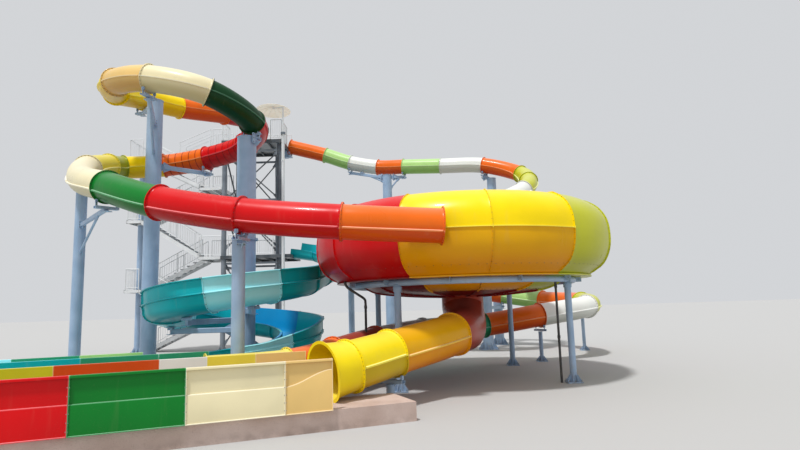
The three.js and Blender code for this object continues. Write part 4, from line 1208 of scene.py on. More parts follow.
@dataclass
class Bowl:
    """The bowl: wall panels round a dish, a drain, and the ring frame that carries them."""

    centre: tuple[float, float] = (8.28, -12.8)
    first_seam: float = -115.7
    panels: int = 12
    steps: int = 8
    wall: float = 0.03
    lip: float = 0.04
    plate: float = 0.009
    ledge: float = 3.95
    skin: tuple[tuple[float, float], ...] = (
        (3.86, 2.96), (4.14, 3.18), (4.31, 3.54), (4.35, 3.95),
        (4.29, 4.37), (4.09, 4.69), (3.8, 4.89), (3.56, 4.965),
    )
    dish_top: float = 2.858
    seat: tuple[float, float] = (3.12, 3.78)
    drain: float = 0.655
    ring: float = 3.27
    ring_pipe: float = 0.083
    ring_height: float = 2.745
    columns: tuple[float, ...] = (-126.5, -35.0, 54.0, 144.0)
    looks: tuple[Look, ...] = tuple(
        Look.row("yellow yellow lime lime red red yellow yellow orange orange red red")
    )

    def outline(self, proud: float = 0.0) -> np.ndarray:
        """Returns the wall's outer line from its foot to its rim, its ledge proud by some metres.

        Args:
            proud: how far the ledge stands out.

        Returns:
            Radius and height of its points.
        """
        line = smooth(self.skin, 4)
        foot = [(3.74, self.dish_top + 0.001), (3.765, self.dish_top + 0.03), (3.80, 2.925)]
        z = self.ledge
        levels = (z - 0.016, z - 0.012, z + 0.006, z + 0.012)
        reach = np.interp(levels, line[:, 1], line[:, 0]) + (0.0, proud, proud, 0.0)
        step = np.column_stack([reach, levels])
        line = line[np.abs(line[:, 1] - z) > 0.03]
        low, high = line[line[:, 1] < z], line[line[:, 1] > z]
        return np.vstack([foot, low, step, high])

    def seam(self, k: int) -> float:
        """Returns the angle of a panel's first seam in degrees."""
        return self.first_seam + k * 360 / self.panels

    def around(self, degrees: float, line: np.ndarray) -> np.ndarray:
        """Returns a line of radius and height at an angle round the bowl.

        Args:
            degrees: the angle.
            line: radius and height of its points.

        Returns:
            The points in space.
        """
        a = math.radians(degrees)
        x = self.centre[0] + line[:, 0] * math.cos(a)
        return np.column_stack([x, self.centre[1] + line[:, 0] * math.sin(a), line[:, 1]])

    def panel_rings(self, k: int, line: np.ndarray, back: np.ndarray, grown: np.ndarray) -> np.ndarray:
        """Returns a panel's sections from seam to seam, grown to a flange at both ends.

        Args:
            k: the panel's number.
            line: its outer line.
            back: its inner line, in the other direction.
            grown: how far its flange stands out at each point of the outer line.

        Returns:
            The sections, in order.
        """
        start, end = self.seam(k), self.seam(k + 1)
        turn = math.degrees(1 / self.skin[3][0])
        levels = [(JOINT_GAP, 1.0), (self.plate, 1.0), (self.plate + 0.004, 0.2), (self.plate + 0.03, 0.0)]
        angles = [(start + d * turn, share) for d, share in levels]
        inner = np.linspace(start, end, self.steps + 1)[1:-1]
        angles += [(a, 0.0) for a in inner] + [(end - d * turn, share) for d, share in levels[::-1]]
        rings = [np.vstack([outward(line, grown * share), back]) for _, share in angles]
        return np.array([self.around(a, ring) for (a, _), ring in zip(angles, rings)])

    def walls(self) -> list[bpy.types.Object]:
        """Makes the wall panels, two to a piece, open where the slide enters.

        Returns:
            The new pieces.
        """
        line = self.outline()
        back = outward(line, -self.wall)[::-1]
        grown = np.full(len(line), self.lip)
        grown[:3] *= (0.0, 0.2, 0.6)
        grown[-3:] *= (0.7, 0.4, 0.0)
        pieces = []
        for i in range(self.panels // 2):
            shape = Shape(f"bowl_wall_{i + 1}_skin")
            for k in (2 * i, 2 * i + 1):
                start = len(shape.faces)
                ledged = self.looks[k] is Look.YELLOW
                outer = self.outline(0.03) if ledged else line
                shape.loft(self.panel_rings(k, outer, back, grown), self.looks[k])
                if ledged:
                    # Below the ledge the yellow is painted amber as shade; the ledge band takes a painted
                    # highlight.
                    ledge = self.ledge - 0.002
                    shape.recolour(start, Look.AMBER, lambda middle: middle[2] < self.ledge)
                    shape.recolour(start, LitLedge(Look.YELLOW), lambda middle: abs(middle[2] - ledge) < 0.016)
            piece = shape.build(f"bowl_wall_{i + 1}")
            if i in (0, 5):
                cut(piece, self.entry_bore())
            pieces.append(piece)
        return pieces

    def entry_bore(self) -> bpy.types.Object:
        """Makes the room inside the slide where it enters the bowl.

        Returns:
            The room's mesh, to cut with.
        """
        places = [*map(SLIDE_A.at, np.linspace(20.6, 21.9, 14)), SLIDE_A.at(22).moved(-0.045)]
        shape = Shape("entry_bore")
        shape.loft([place.ring(circle(48, 0.39)) for place in places], Look.YELLOW)
        return shape.plain()

    def entry(self) -> bpy.types.Object:
        """Makes the slide's last section, cut along the bowl's wall.

        Returns:
            The new piece.
        """
        slide = TubeSlide("entry", SLIDE_A, A_LOOKS, [], ridge_drop={21: 24.0})
        shape = Shape("slide_a_6_skin")
        slide.span(shape, 21)
        piece = shape.build("slide_a_6")
        hull = Shape("bowl_hull")
        line = outward(self.outline(), 0.001)
        foot, rim = [(2.0, line[0, 1])], [(2.0, line[-1, 1])]
        hull.turned(self.centre, np.vstack([foot, line, rim]), A_LOOKS[21], 120)
        cut(piece, hull.plain())
        return piece

    def bolts(self) -> bpy.types.Object:
        """Makes the bolts of the seams and of the panels' lower edge.

        Returns:
            The new piece.
        """
        shape = Shape("bowl_bolts")
        line = outward(self.outline(), self.lip * 0.55)
        steps = np.concatenate([[0], np.cumsum(np.linalg.norm(np.diff(line, axis=0), axis=1))])
        turn = math.degrees(1 / self.skin[3][0])
        for k in range(self.panels):
            seam = self.seam(k)
            across = polar((0, 0), 1.0, seam + 90, 0.0)
            for run in np.arange(0.16, steps[-1] - 0.1, 0.15):
                spot = np.array([[np.interp(run, steps, line[:, 0]), np.interp(run, steps, line[:, 1])]])
                for side in (-1, 1):
                    place = self.around(seam + side * self.plate * turn, spot)[0]
                    shape.bolt(place, across * side, 0.008, Look.DARK_BOLT)
        foot = self.outline()[5:7].mean(0)
        for a in np.arange(self.first_seam + 1.5, self.first_seam + 360, 3.0):
            way = polar((0, 0), 1.0, a, -0.62)
            shape.bolt(self.around(a, foot[None])[0], way, 0.009, Look.DARK_BOLT)
        return shape.build()

    def dish(self) -> bpy.types.Object:
        """Makes the dish: a rim in darker copies of the walls' colours as painted shade, a dark middle, seam
        flanges and bolts.

        Returns:
            The new piece.
        """
        seat_in, seat_out = self.seat
        inner_edge = (seat_in - 0.01, self.dish_top)
        slope = smooth([inner_edge, (2.6, 2.59), (1.6, 2.47), (self.drain, 2.42)], 6)
        line = np.vstack([[(seat_out, self.dish_top)], slope])
        strips = (line[line[:, 0] > 2.15], line[line[:, 0] < 2.35])
        # Darker copies of the walls' colours for the rim: painted shade under the bowl.
        rim = {Look.YELLOW: Look.AMBER, Look.RED: Look.DEEP_RED, Look.ORANGE: Look.RUST}
        levels = [(0.02, 1.0), (0.25, 1.0), (0.28, 0.0)]
        shape = Shape("bowl_dish_skin")
        for k in range(self.panels):
            start = self.seam(k)
            angles = [(start + d, s) for d, s in levels]
            angles += [(a, 0.0) for a in start + np.arange(3.75, 30, 3.75)]
            angles += [(start + 30 - d, s) for d, s in levels[::-1]]
            for part, look in zip(strips, (rim.get(self.looks[k], self.looks[k]), Look.DEEP_RED)):
                under = part - (0.0, 0.03)
                lip = np.where(under[:, 0] < seat_in - 0.06, 0.045, 0.0)
                rings = []
                for a, share in angles:
                    lower = under - np.column_stack([0 * lip, lip * share])
                    rings.append(self.around(a, np.vstack([part, lower[::-1]])))
                shape.loft(rings, look)
            across = polar((0, 0), 1.0, start + 90, 0.0)
            for r in np.arange(0.8, 3.0, 0.17):
                z = np.interp(r, line[::-1, 0], line[::-1, 1]) - 0.055
                for side in (-1, 1):
                    place = polar(self.centre, r, start + side * 0.255, z)
                    shape.bolt(place, across * side, 0.011, Look.DARK_BOLT)
        for a in np.arange(self.first_seam + 2, self.first_seam + 360, 4):
            z = np.interp(2.42, line[::-1, 0], line[::-1, 1]) - 0.03
            shape.bolt(polar(self.centre, 2.42, a, z), -UP, 0.013, Look.DARK_BOLT)
        return shape.build("bowl_dish")

    def frame(self) -> bpy.types.Object:
        """Makes the ring pipe on its columns, with collars, base plates and lugs.

        Returns:
            The new piece.
        """
        shape = Shape("bowl_frame_steel")
        pipe = circle(18, self.ring_pipe)[:, ::-1] + (self.ring, self.ring_height)
        shape.turned(self.centre, pipe, Look.POST, 96)
        plate = rectangle(-0.006, 0.006, -0.06, 0.077)
        for k in range(self.panels):
            a = self.seam(k) + 15
            out, across = polar((0, 0), 1, a, 0), polar((0, 0), 1, a + 90, 0)
            lug = polar(self.centre, self.ring + self.ring_pipe, a, self.ring_height + 0.03)
            shape.section(lug - out * 0.02, lug + out * 0.16, plate, Look.POST, across)
            for side in (-1, 1):
                shape.bolt(lug + out * 0.09 + across * side * 0.006, across * side, 0.014)
        collar = [(0.11, 2.52), (0.11, 2.61), (0.12, 2.61), (0.12, 2.63), (0.1, 2.66)]
        for a in self.columns:
            foot = polar(self.centre, self.ring, a, 0.0)
            column(shape, foot, 0.088, self.ring_height - 0.05, 0.2)
            shape.disc_stack(foot, collar, Look.POST)
        return shape.build("bowl_frame")

    def drains(self) -> bpy.types.Object:
        """Makes the two thin black drain pipes from the dish to the ground.

        Returns:
            The new piece.
        """
        shape = Shape("drain_pipes")
        left = [(4.88, -14.56, 2.86), (4.95, -14.54, 2.70), (5.2, -14.52, 2.52)]
        left += [(5.41, -14.5, 2.37), (5.44, -14.5, 2.25)]
        right = [polar(self.centre, r, -38.0, z) for r, z in ((3.09, 2.83), (3.03, 2.76), (3.0, 2.66))]
        across = np.array([0.0, 1.0, 0.0])
        turns = np.radians(np.arange(0, 360, 30))
        for bend in (left, right):
            line = smooth(bend, 4)
            rings = []
            for k, spot in enumerate(line):
                along = unit(line[min(k + 1, len(line) - 1)] - line[max(k - 1, 0)])
                rise = np.cross(across, along)
                rings.append([spot + 0.034 * (across * math.cos(t) + rise * math.sin(t)) for t in turns])
            foot = np.array([*line[-1][:2], 0.0])
            rings.append([foot + 0.034 * np.array([-math.sin(t), math.cos(t), 0.0]) for t in turns])
            shape.loft(rings, Look.BLACK_PIPE)
            for z in (line[-1][2] - 0.1, 1.2):
                shape.disc_stack(line[-1], [(0.042, z - 0.04), (0.042, z + 0.04)], Look.BLACK_PIPE, 16)
        return shape.build()

    def build(self) -> list[bpy.types.Object]:
        """Makes the whole bowl."""
        return [*self.walls(), self.entry(), self.bolts(), self.dish(), self.frame(), self.drains()]


def column(
    shape: Shape, foot: np.ndarray, radius: float, top: float, reach: float, look: Look = Look.POST
) -> None:
    """Adds a round column on a base plate with gussets and anchor bolts.

    Args:
        shape: the piece it belongs to.
        foot: its place on the ground.
        radius: its radius.
        top: the height of its cap.
        reach: half the width of its base plate.
        look: its finish.
    """
    x, y = foot[:2]
    sides = 40 if radius > 0.2 else 28
    proud = radius + 0.015
    cap = [(radius, top - 0.02), (proud, top - 0.02), (proud, top - 0.004), (radius + 0.008, top)]
    shape.disc_stack(foot, [(radius, 0.01), *cap], look, sides)
    shape.box((x - reach, y - reach, 0.0), (x + reach, y + reach, 0.03), look, 0.004)
    weld = radius + 0.012
    shape.disc_stack(foot, [(weld, 0.026), (weld, 0.036), (radius - 0.001, 0.05)], look, sides)
    height = min(0.32, reach * 0.9)
    for k in range(8):
        a = math.radians(45 * k + 22.5)
        out = np.array([math.cos(a), math.sin(a), 0.0])
        spare = min(reach / max(abs(out[0]), abs(out[1])), reach * 1.25) - radius - 0.012
        drawing = [(0.0, 0.0), (spare, 0.0), (spare, 0.03), (0.02, height), (0.0, height)]
        across = np.array([-out[1], out[0], 0.0])
        root = np.array([x, y, 0.03]) + out * (radius - 0.004)
        ring = np.array([root + out * r + UP * z for r, z in drawing])
        shape.plate(ring, across, 0.012, look)
    for sx in (-1, 0, 1):
        for sy in (-1, 0, 1):
            if sx or sy:
                place = np.array([x + sx * (reach - 0.035), y + sy * (reach - 0.035), 0.03])
                shape.disc_stack(place, [(0.026, 0.028), (0.026, 0.034)], Look.BOLT, 12)
                shape.bolt(place + UP * 0.004, UP, 0.019)
                shape.rod(place, place + UP * 0.055, 0.009, Look.BOLT, 8)


def railing(
    shape: Shape, points: Sequence[Sequence[float]], height: float = 1.1, bars: float = 0.12
) -> None:
    """Adds a guard rail along floor points: posts, a top and a foot rail, and thin upright bars.

    Args:
        shape: the piece it belongs to.
        points: corners at floor level.
        height: the top rail's height.
        bars: the distance between upright bars; none where it is zero.
    """
    look = Look.RAIL
    corners = np.array(points, float)
    shape.rod(corners[0], corners[0] + UP * height, 0.024, look, 10)
    for a, b in zip(corners, corners[1:]):
        run = float(np.linalg.norm((b - a)[:2]))
        count = max(1, round(run / 1.4))
        for k in range(1, count + 1):
            foot = a + (b - a) * k / count
            shape.rod(foot - UP * 0.04, foot + UP * height, 0.024, look, 10)
            shape.box(foot - (0.045, 0.045, 0.0), foot + (0.045, 0.045, 0.008), look)
        levels = (0.1, height) if bars else (0.36, 0.72, height)
        for level in levels:
            shape.rod(a + UP * level, b + UP * level, 0.022 if level == height else 0.014, look, 10)
        if bars:
            upright = max(2, round(run / bars))
            for k in range(1, upright):
                foot = a + (b - a) * k / upright
                shape.rod(foot + UP * 0.1, foot + UP * (height - 0.01), 0.0075, look, 6)


@dataclass
class Flume:
    """The open flume: moulded panels with a high outer side, a ledge at mid height and a low inner side."""

    joints: list[tuple[float, float, float]]
    looks: list[Look]
    inner: tuple[Look, Look] = (Look.TURQUOISE, Look.BLUE)
    seams: tuple[float, ...] = (*range(8), 8.2, 9.4, *range(11, 17), 17.45, 18.4, 19.2, 20)
    stretches: tuple[tuple[str, int, int], ...] = (
        ("slide_c_1", 0, 7), ("slide_c_2", 7, 11), ("slide_c_3", 11, 16), ("slide_c_4", 16, 20),
    )
    lowering: float = 0.25
    lip: float = 0.05

    def __post_init__(self) -> None:
        """Lays the path through the joints."""
        self.path = Path(self.joints)

    def drop(self, joint: float) -> float:
        """Returns how much lower the outer side is at a joint."""
        return self.lowering * min(max((joint - 16.5) / 1.5, 0.0), 1.0)

    def belly(self, half: float, top: float, low: float) -> list[tuple[float, float]]:
        """Returns the round underside as a flattened half oval, from the inner side to the outer.

        Args:
            half: half its width.
            top: the height of its ends.
            low: the height of its lowest point.

        Returns:
            Its points, to the side and up.
        """
        turns = np.radians(np.linspace(0, 180, 19))
        x = np.sign(np.cos(turns)) * np.abs(np.cos(turns)) ** (2 / 2.7)
        z = np.sin(turns) ** (2 / 2.7)
        return [(half * a, top - (top - low) * b) for a, b in zip(x, z)]

    def drawing(self, drop: float, grown: float) -> np.ndarray:
        """Returns the section: the skin from the inner lip round to the outer one, then the bed back.

        Args:
            drop: how much lower the outer side is.
            grown: 1 on a flange, 0 between them.

        Returns:
            Its points, to the side and up.
        """
        out = grown * self.lip
        skin = [(0.665, 0.33), (0.624 + out, 0.325), (0.618 + out, 0.27)]
        for a, r in self.belly(0.615, 0.25, -0.138):
            skin.append((a + np.sign(a) * out * abs(a) / 0.615, r - out * (1 - abs(a) / 0.64)))
        edge, high = -0.70 - out * 0.4, 0.8 - drop
        skin += [(-0.63 - out, 0.30), (-0.642 - out, 0.345), (edge, 0.357)]
        skin += [(-0.71 - out * 0.4, 0.375), (edge, 0.395), (-0.645 - out, 0.405)]
        skin += [(-0.655 - out * 0.8, high - 0.04), (-0.72, high - 0.035)]
        skin += [(-0.73, high - 0.02), (-0.722, high - 0.003)]
        bed = [(-0.70, high), (-0.632, high), (-0.624, high - 0.02), (-0.606, 0.36)]
        bed += self.belly(0.588, 0.27, -0.11)[::-1]
        bed += [(0.592, 0.35), (0.60, 0.36), (0.66, 0.36), (0.668, 0.352)]
        return np.array([(-a, r) for a, r in skin + bed]) * (-1, 1)

    def span(self, shape: Shape, k: int) -> None:
        """Adds panel number k between two seams, with a flange at each end.

        Args:
            shape: the piece it belongs to.
            k: its number.
        """
        a, b = self.seams[k : k + 2]
        length = self.path.length(a, b)
        steps = max(4, round(length / 0.2))
        levels = [(JOINT_GAP, 1.0), (0.016, 1.0), (0.02, 0.15), (0.05, 0.0)]
        stations = [(self.path.at(a).moved(d), a, share) for d, share in levels]
        margin = 0.1 * (b - a) / length
        stations += [(self.path.at(j), j, 0.0) for j in np.linspace(a + margin, b - margin, steps)]
        stations += [(self.path.at(b).moved(-d), b, share) for d, share in levels[::-1]]
        rings = np.array([place.ring(self.drawing(self.drop(j), share)) for place, j, share in stations])
        m = rings.shape[1]
        bed = set(range(len(self.drawing(0, 0)) - 27, m))
        first = shape.count
        start = len(shape.faces)
        shape.loft(rings, self.looks[k])
        for i in range(start, len(shape.faces)):
            face = shape.faces[i]
            if len(face) == 4 and all((p - first) % m in bed for p in face):
                shape.looks[i] = self.inner[k % 2]

    def build(self) -> list[bpy.types.Object]:
        """Makes each stretch, and the bolts of all.

        Returns:
            The new pieces.
        """
        pieces = []
        for node, start, end in self.stretches:
            shape = Shape(node + "_skin")
            for k, seam in enumerate(self.seams):
                if start <= seam < end:
                    self.span(shape, k)
            pieces.append(shape.build(node))
        bolts = Shape("slide_c_bolts")
        for joint in self.seams[1:-1]:
            place = self.path.at(joint)
            skin = self.drawing(self.drop(joint), 0.55)[1:32:2]
            for spot in place.ring(skin):
                for side in (-1, 1):
                    bolts.bolt(spot + place.along * side * 0.016, place.along * side, 0.013, Look.DARK_BOLT)
        pieces.append(bolts.build())
        return pieces


@dataclass
class RunOut:
    """The three run-out lanes: upright walls with an overhanging lip, floors and end walls."""

    start: tuple[float, float] = (5.16, -19.8)
    heading: float = -157.3
    length: float = 7.75
    floor: float = 0.3603
    top: float = 1.27
    far_top: float = 1.12
    near: float = 2.1
    middle: tuple[float, float] = (2.1723, 3.7)
    far: tuple[float, float] = (5.7, 7.0)
    middle_start: float = 1.85
    lift: float = 0.25

    def point(self, t: float, offset: float, z: float = 0.0) -> np.ndarray:
        """Returns a place by its distance along the lanes, its offset to the far side and its height.

        Args:
            t: the distance along the lanes.
            offset: the distance to the far side.
            z: the height.

        Returns:
            The place.
        """
        a = math.radians(self.heading)
        x = self.start[0] + t * math.cos(a) + offset * math.sin(a)
        return np.array([x, self.start[1] + t * math.sin(a) - offset * math.cos(a), z])

    def section(self, top: float, grown: float, ledge: float) -> list[tuple[float, float]]:
        """Returns a wall's section, outward from its inner face and up.

        Args:
            top: the wall's height.
            grown: 1 on a panel's end flange, 0 between them.
            ledge: the ledge's height.

        Returns:
            Its points, outward and up.
        """
        foot, middle = self.floor, ledge
        out = [(0.062, foot), (0.062, foot + 0.012), (0.046, foot + 0.016)]
        out += [(0.046, middle - 0.012), (0.040, middle), (0.020, middle + 0.003), (0.020, top - 0.05)]
        out = [(max(a, 0.062 * grown), z) for a, z in out]
        lip = [(0.06, top - 0.05), (0.068, top - 0.042), (0.07, top - 0.02)]
        lip += [(0.064, top - 0.005), (0.05, top)]
        return [*out, *lip, (0.006, top), (0.0, top - 0.006), (0.0, foot)]

    def wall(
        self,
        shape: Shape,
        offset: float,
        face: int,
        top: float,
        seams: Sequence[float],
        looks: Sequence[Look],
        rising: bool = False,
    ) -> None:
        """Adds a lane wall, panel by panel.

        Args:
            shape: the piece it belongs to.
            offset: the offset of its inner face.
            face: which way it faces out, -1 to the near side.
            top: its height.
            seams: where its panels start and end.
            looks: their finishes.
            rising: whether the ledge of the first panel rises to its start.
        """
        middle = (self.floor + top) / 2 + 0.02
        for k, look in enumerate(looks):
            start, end = seams[k], seams[k + 1]
            levels = [(0.001, 1.0), (0.012, 1.0), (0.014, 0.0)]
            bent = rising and k == 0
            steps = 18 if bent else 2

            def ledge(t: float) -> float:
                """Returns the ledge's height at a distance along this panel."""
                share = (end - t) / (end - start) if bent else 0.0
                return middle + self.lift * share * share * (3 - 2 * share)

            stations = [(start + d, g) for d, g in levels]
            stations += [(t, 0.0) for t in np.linspace(start + 0.05, end - 0.05, steps)]
            stations += [(end - d, g) for d, g in levels[::-1]]
            rings = []
            for t, grown in stations:
                outline = self.section(top, grown, ledge(t))
                rings.append([self.point(t, offset + face * o, z) for o, z in outline])
            first = len(shape.faces)
            shape.loft(rings, look)
            # The foot, the ledge and the end flanges take a paler finish: a painted highlight.
            shape.recolour(first, LitLedge(look), lambda place: self.trim(place, start, end, ledge))
            if k:
                for z in np.arange(self.floor + 0.08, top - 0.08, 0.13):
                    for side in (-1, 1):
                        place = self.point(start + side * 0.012, offset + face * 0.055, z)
                        shape.bolt(place, self.point(side, 0) - self.point(0, 0), 0.008)

    def trim(self, place: np.ndarray, start: float, end: float, ledge: Callable[[float], float]) -> bool:
        """Tells whether a place on a wall is on its foot, its ledge or a panel's end flange.

        Args:
            place: the place.
            start: where the panel starts.
            end: where it ends.
            ledge: the ledge's height at a distance.

        Returns:
            Whether it is.
        """
        a = math.radians(self.heading)
        t = (place[0] - self.start[0]) * math.cos(a) + (place[1] - self.start[1]) * math.sin(a)
        low = place[2] < self.floor + 0.015
        return low or abs(place[2] - ledge(t) + 0.004) < 0.012 or min(t - start, end - t) < 0.014

    def bed(self, shape: Shape, t0: float, t1: float, o0: float, o1: float, look: Look, top: float) -> None:
        """Adds a lane's floor and its end wall."""
        self.slab(shape, t0, t1, o0, o1, self.floor, self.floor + 0.035, look)
        self.slab(shape, t1 - 0.04, t1, o0, o1, self.floor + 0.035, top - 0.045, look)

    def slab(
        self, shape: Shape, t0: float, t1: float, o0: float, o1: float, z0: float, z1: float, look: Look
    ) -> None:
        """Adds a block with cut edges in the lanes' directions.

        Args:
            shape: the piece it belongs to.
            t0: where it starts.
            t1: where it ends.
            o0: its near side.
            o1: its far side.
            z0: its foot.
            z1: its top.
            look: its finish.
        """
        c = min(0.008, (z1 - z0) / 4)
        rings = []
        for z, e in ((z0, c), (z0 + c, 0.0), (z1 - c, 0.0), (z1, c)):
            rings.append([self.point(t, o, z) for t, o in rectangle(t0 + e, t1 - e, o0 + e, o1 - e)])
        shape.loft(rings, look)

    def room(self, slide: TubeSlide, start: float, end: float) -> bpy.types.Object:
        """Makes the room that a slide's end fills with its flange, to cut it from a lane.

        Args:
            slide: the slide.
            start: the joint number it starts at.
            end: the one it ends at.

        Returns:
            The room's mesh, to cut with.
        """
        turns = np.radians(np.arange(64) * 5.625)
        shape = Shape("room")
        reach = slide.lip + 0.002
        rings = [slide.path.at(j).ring(slide.outline(j, turns, reach)) for j in np.linspace(start, end, 10)]
        shape.loft(rings, Look.WHITE)
        return shape.plain()

    def build(self) -> list[bpy.types.Object]:
        """Makes the three lanes.

        Returns:
            The new pieces.
        """
        _, slide_b, exit_tube = closed_slides()
        end = self.length
        near = Shape("runout_near_skin")
        seams = [0.0, 0.85, 2.47, 4.14, 6.0, end]
        colours = Look.row("tan cream green red orange")
        self.wall(near, 0.04, -1, self.top, seams, colours, rising=True)
        back = [0.0, 1.05, 2.0, 2.88, 4.66, 6.3, end]
        # The orange back panel is painted darker: painted shadow of its lip.
        colours = Look.row("tan light_yellow white burnt_orange lime yellow")
        self.wall(near, self.near - 0.04, 1, self.top, back, colours)
        self.bed(near, 0.0, end, 0.045, self.near - 0.045, Look.PALE_CYAN, self.top)
        piece = near.build("runout_near")
        cut(piece, self.room(exit_tube, 5.0, 6.0))

        middle = Shape("runout_middle_skin")
        start = self.middle_start
        seams = [start, 2.9, 4.41, 6.1, end]
        colours = Look.row("teal_green teal_green turquoise pale_cyan")
        self.wall(middle, self.middle[1] - 0.04, 1, self.top, seams, colours)
        near_edge, far_edge = self.middle
        self.bed(middle, start, end, near_edge + 0.04, far_edge - 0.045, Look.PALE_CYAN, self.top)
        kerb = (near_edge, near_edge + 0.035, self.floor, self.floor + 0.24)
        self.slab(middle, start, end, *kerb, Look.TURQUOISE)
        second = middle.build("runout_middle")
        cut(second, self.room(slide_b, 27.9, 29.0))

        far = Shape("runout_far_skin")
        flume_end = FLUME_END + 0.0006
        seams = [flume_end, 4.8, 6.3, end]
        colours = Look.row("pale_green teal_green pale_cyan")
        self.wall(far, self.far[0] + 0.04, -1, self.far_top, seams, colours)
        self.wall(far, self.far[1] - 0.04, 1, self.far_top, seams, colours)
        self.bed(far, flume_end, end, self.far[0] + 0.045, self.far[1] - 0.045, Look.PALE_CYAN, self.far_top)
        third = far.build("runout_far")
        return [piece, second, third]


@dataclass
class Support:
    """What holds one joint of a slide: the slide, the joint, and the saddle's drop and thickness."""

    slide: TubeSlide
    joint: float
    drop: float = 0.15
    thick: float = 0.15

    def saddle(self, shape: Shape) -> np.ndarray:
        """Adds the saddle under the joint and returns the point where an arm meets it.

        Args:
            shape: the piece it belongs to.

        Returns:
            That point.
        """
        place = self.slide.path.at(self.joint)
        radius = self.slide.size(self.joint)[0]
        level = unit(np.array([place.side[0], place.side[1], 0.0]))
        forward = np.cross(UP, level)
        on_flange = abs(self.joint - round(self.joint)) < 0.01
        hug = (self.slide.lip if on_flange else 0.0) + 0.001
        low = -(radius + self.slide.lip + self.drop)
        foot = place.point + UP * low
        half = self.thick / 2
        ends = self.slide.outline(self.joint, np.radians([180 - 33, 180 + 33]), hug)
        reach = abs(ends[0][0]) + 0.05
        channel = [(-half, -0.02), (half, -0.02), (half, 0.05), (half - 0.008, 0.05), (half - 0.008, -0.012)]
        channel += [(-half + 0.008, -0.012), (-half + 0.008, 0.05), (-half, 0.05)]
        shape.section(foot - level * reach + UP * 0.03, foot + level * reach + UP * 0.03, channel, Look.POST)
        for a, z in ends:
            side = np.sign(a)
            head = place.point + level * a + UP * (z + 0.03)
            root = np.array([*head[:2], foot[2] + 0.02]) + level * side * 0.012
            shape.bar(root, head + level * side * 0.012, 0.012, half * 1.3, Look.POST)
            lug = rectangle(-0.005, 0.03, -half * 0.6, half * 0.6)
            shape.section(head, head + UP * -0.09, lug, Look.POST, level * side)
            shape.bolt(head + level * side * 0.02 - UP * 0.05, level * side, 0.013)
            end = foot + level * side * (reach - 0.02) + UP * 0.018
            for t in (-1, 1):
                shape.bolt(end + forward * t * half * 0.5, UP, 0.012)
        return foot + UP * 0.02


def beam(
    shape: Shape, root: np.ndarray, tip: np.ndarray, width: float, height: float, radius: float
) -> None:
    """Adds an arm from a post's middle to a saddle: a hollow section with an end plate and side gussets.

    Args:
        shape: the piece it belongs to.
        root: the arm's place on the post's axis.
        tip: its place under the saddle.
        width: its width.
        height: its depth.
        radius: the post's radius.
    """
    along = unit(tip - root)
    level = unit(np.cross(along, UP))
    shape.bar(root, tip, width, height, Look.POST)
    collar = root + along * (radius - 0.004)
    outline = rectangle(-width * 0.85, width * 0.85, -height * 0.85, height * 0.85)
    shape.section(collar + along * 0.05, collar + along * 0.07, outline, Look.POST, level)
    shape.section(collar + along * 0.072, collar + along * 0.092, outline, Look.POST, level)
    for a in (-0.7, 0.7):
        for b in (-0.65, 0.0, 0.65):
            spot = collar + level * width * a + np.cross(level, along) * height * b + along * 0.092
            shape.bolt(spot, along, 0.015)
    rise = np.cross(level, along)
    drawing = [(0.0, 0.0), (0.26, 0.0), (0.0, height * 0.9)]
    for s in (-1, 1):
        ring = np.array([collar + along * (a + 0.09) + rise * s * (height / 2 + z) for a, z in drawing])
        shape.plate(ring, level, 0.012, Look.POST)
    low, high = tip - (0.11, 0.11, height / 2 + 0.012), tip + (0.11, 0.11, 0.002 - height / 2)
    shape.box(low, high, Look.POST, 0.003)


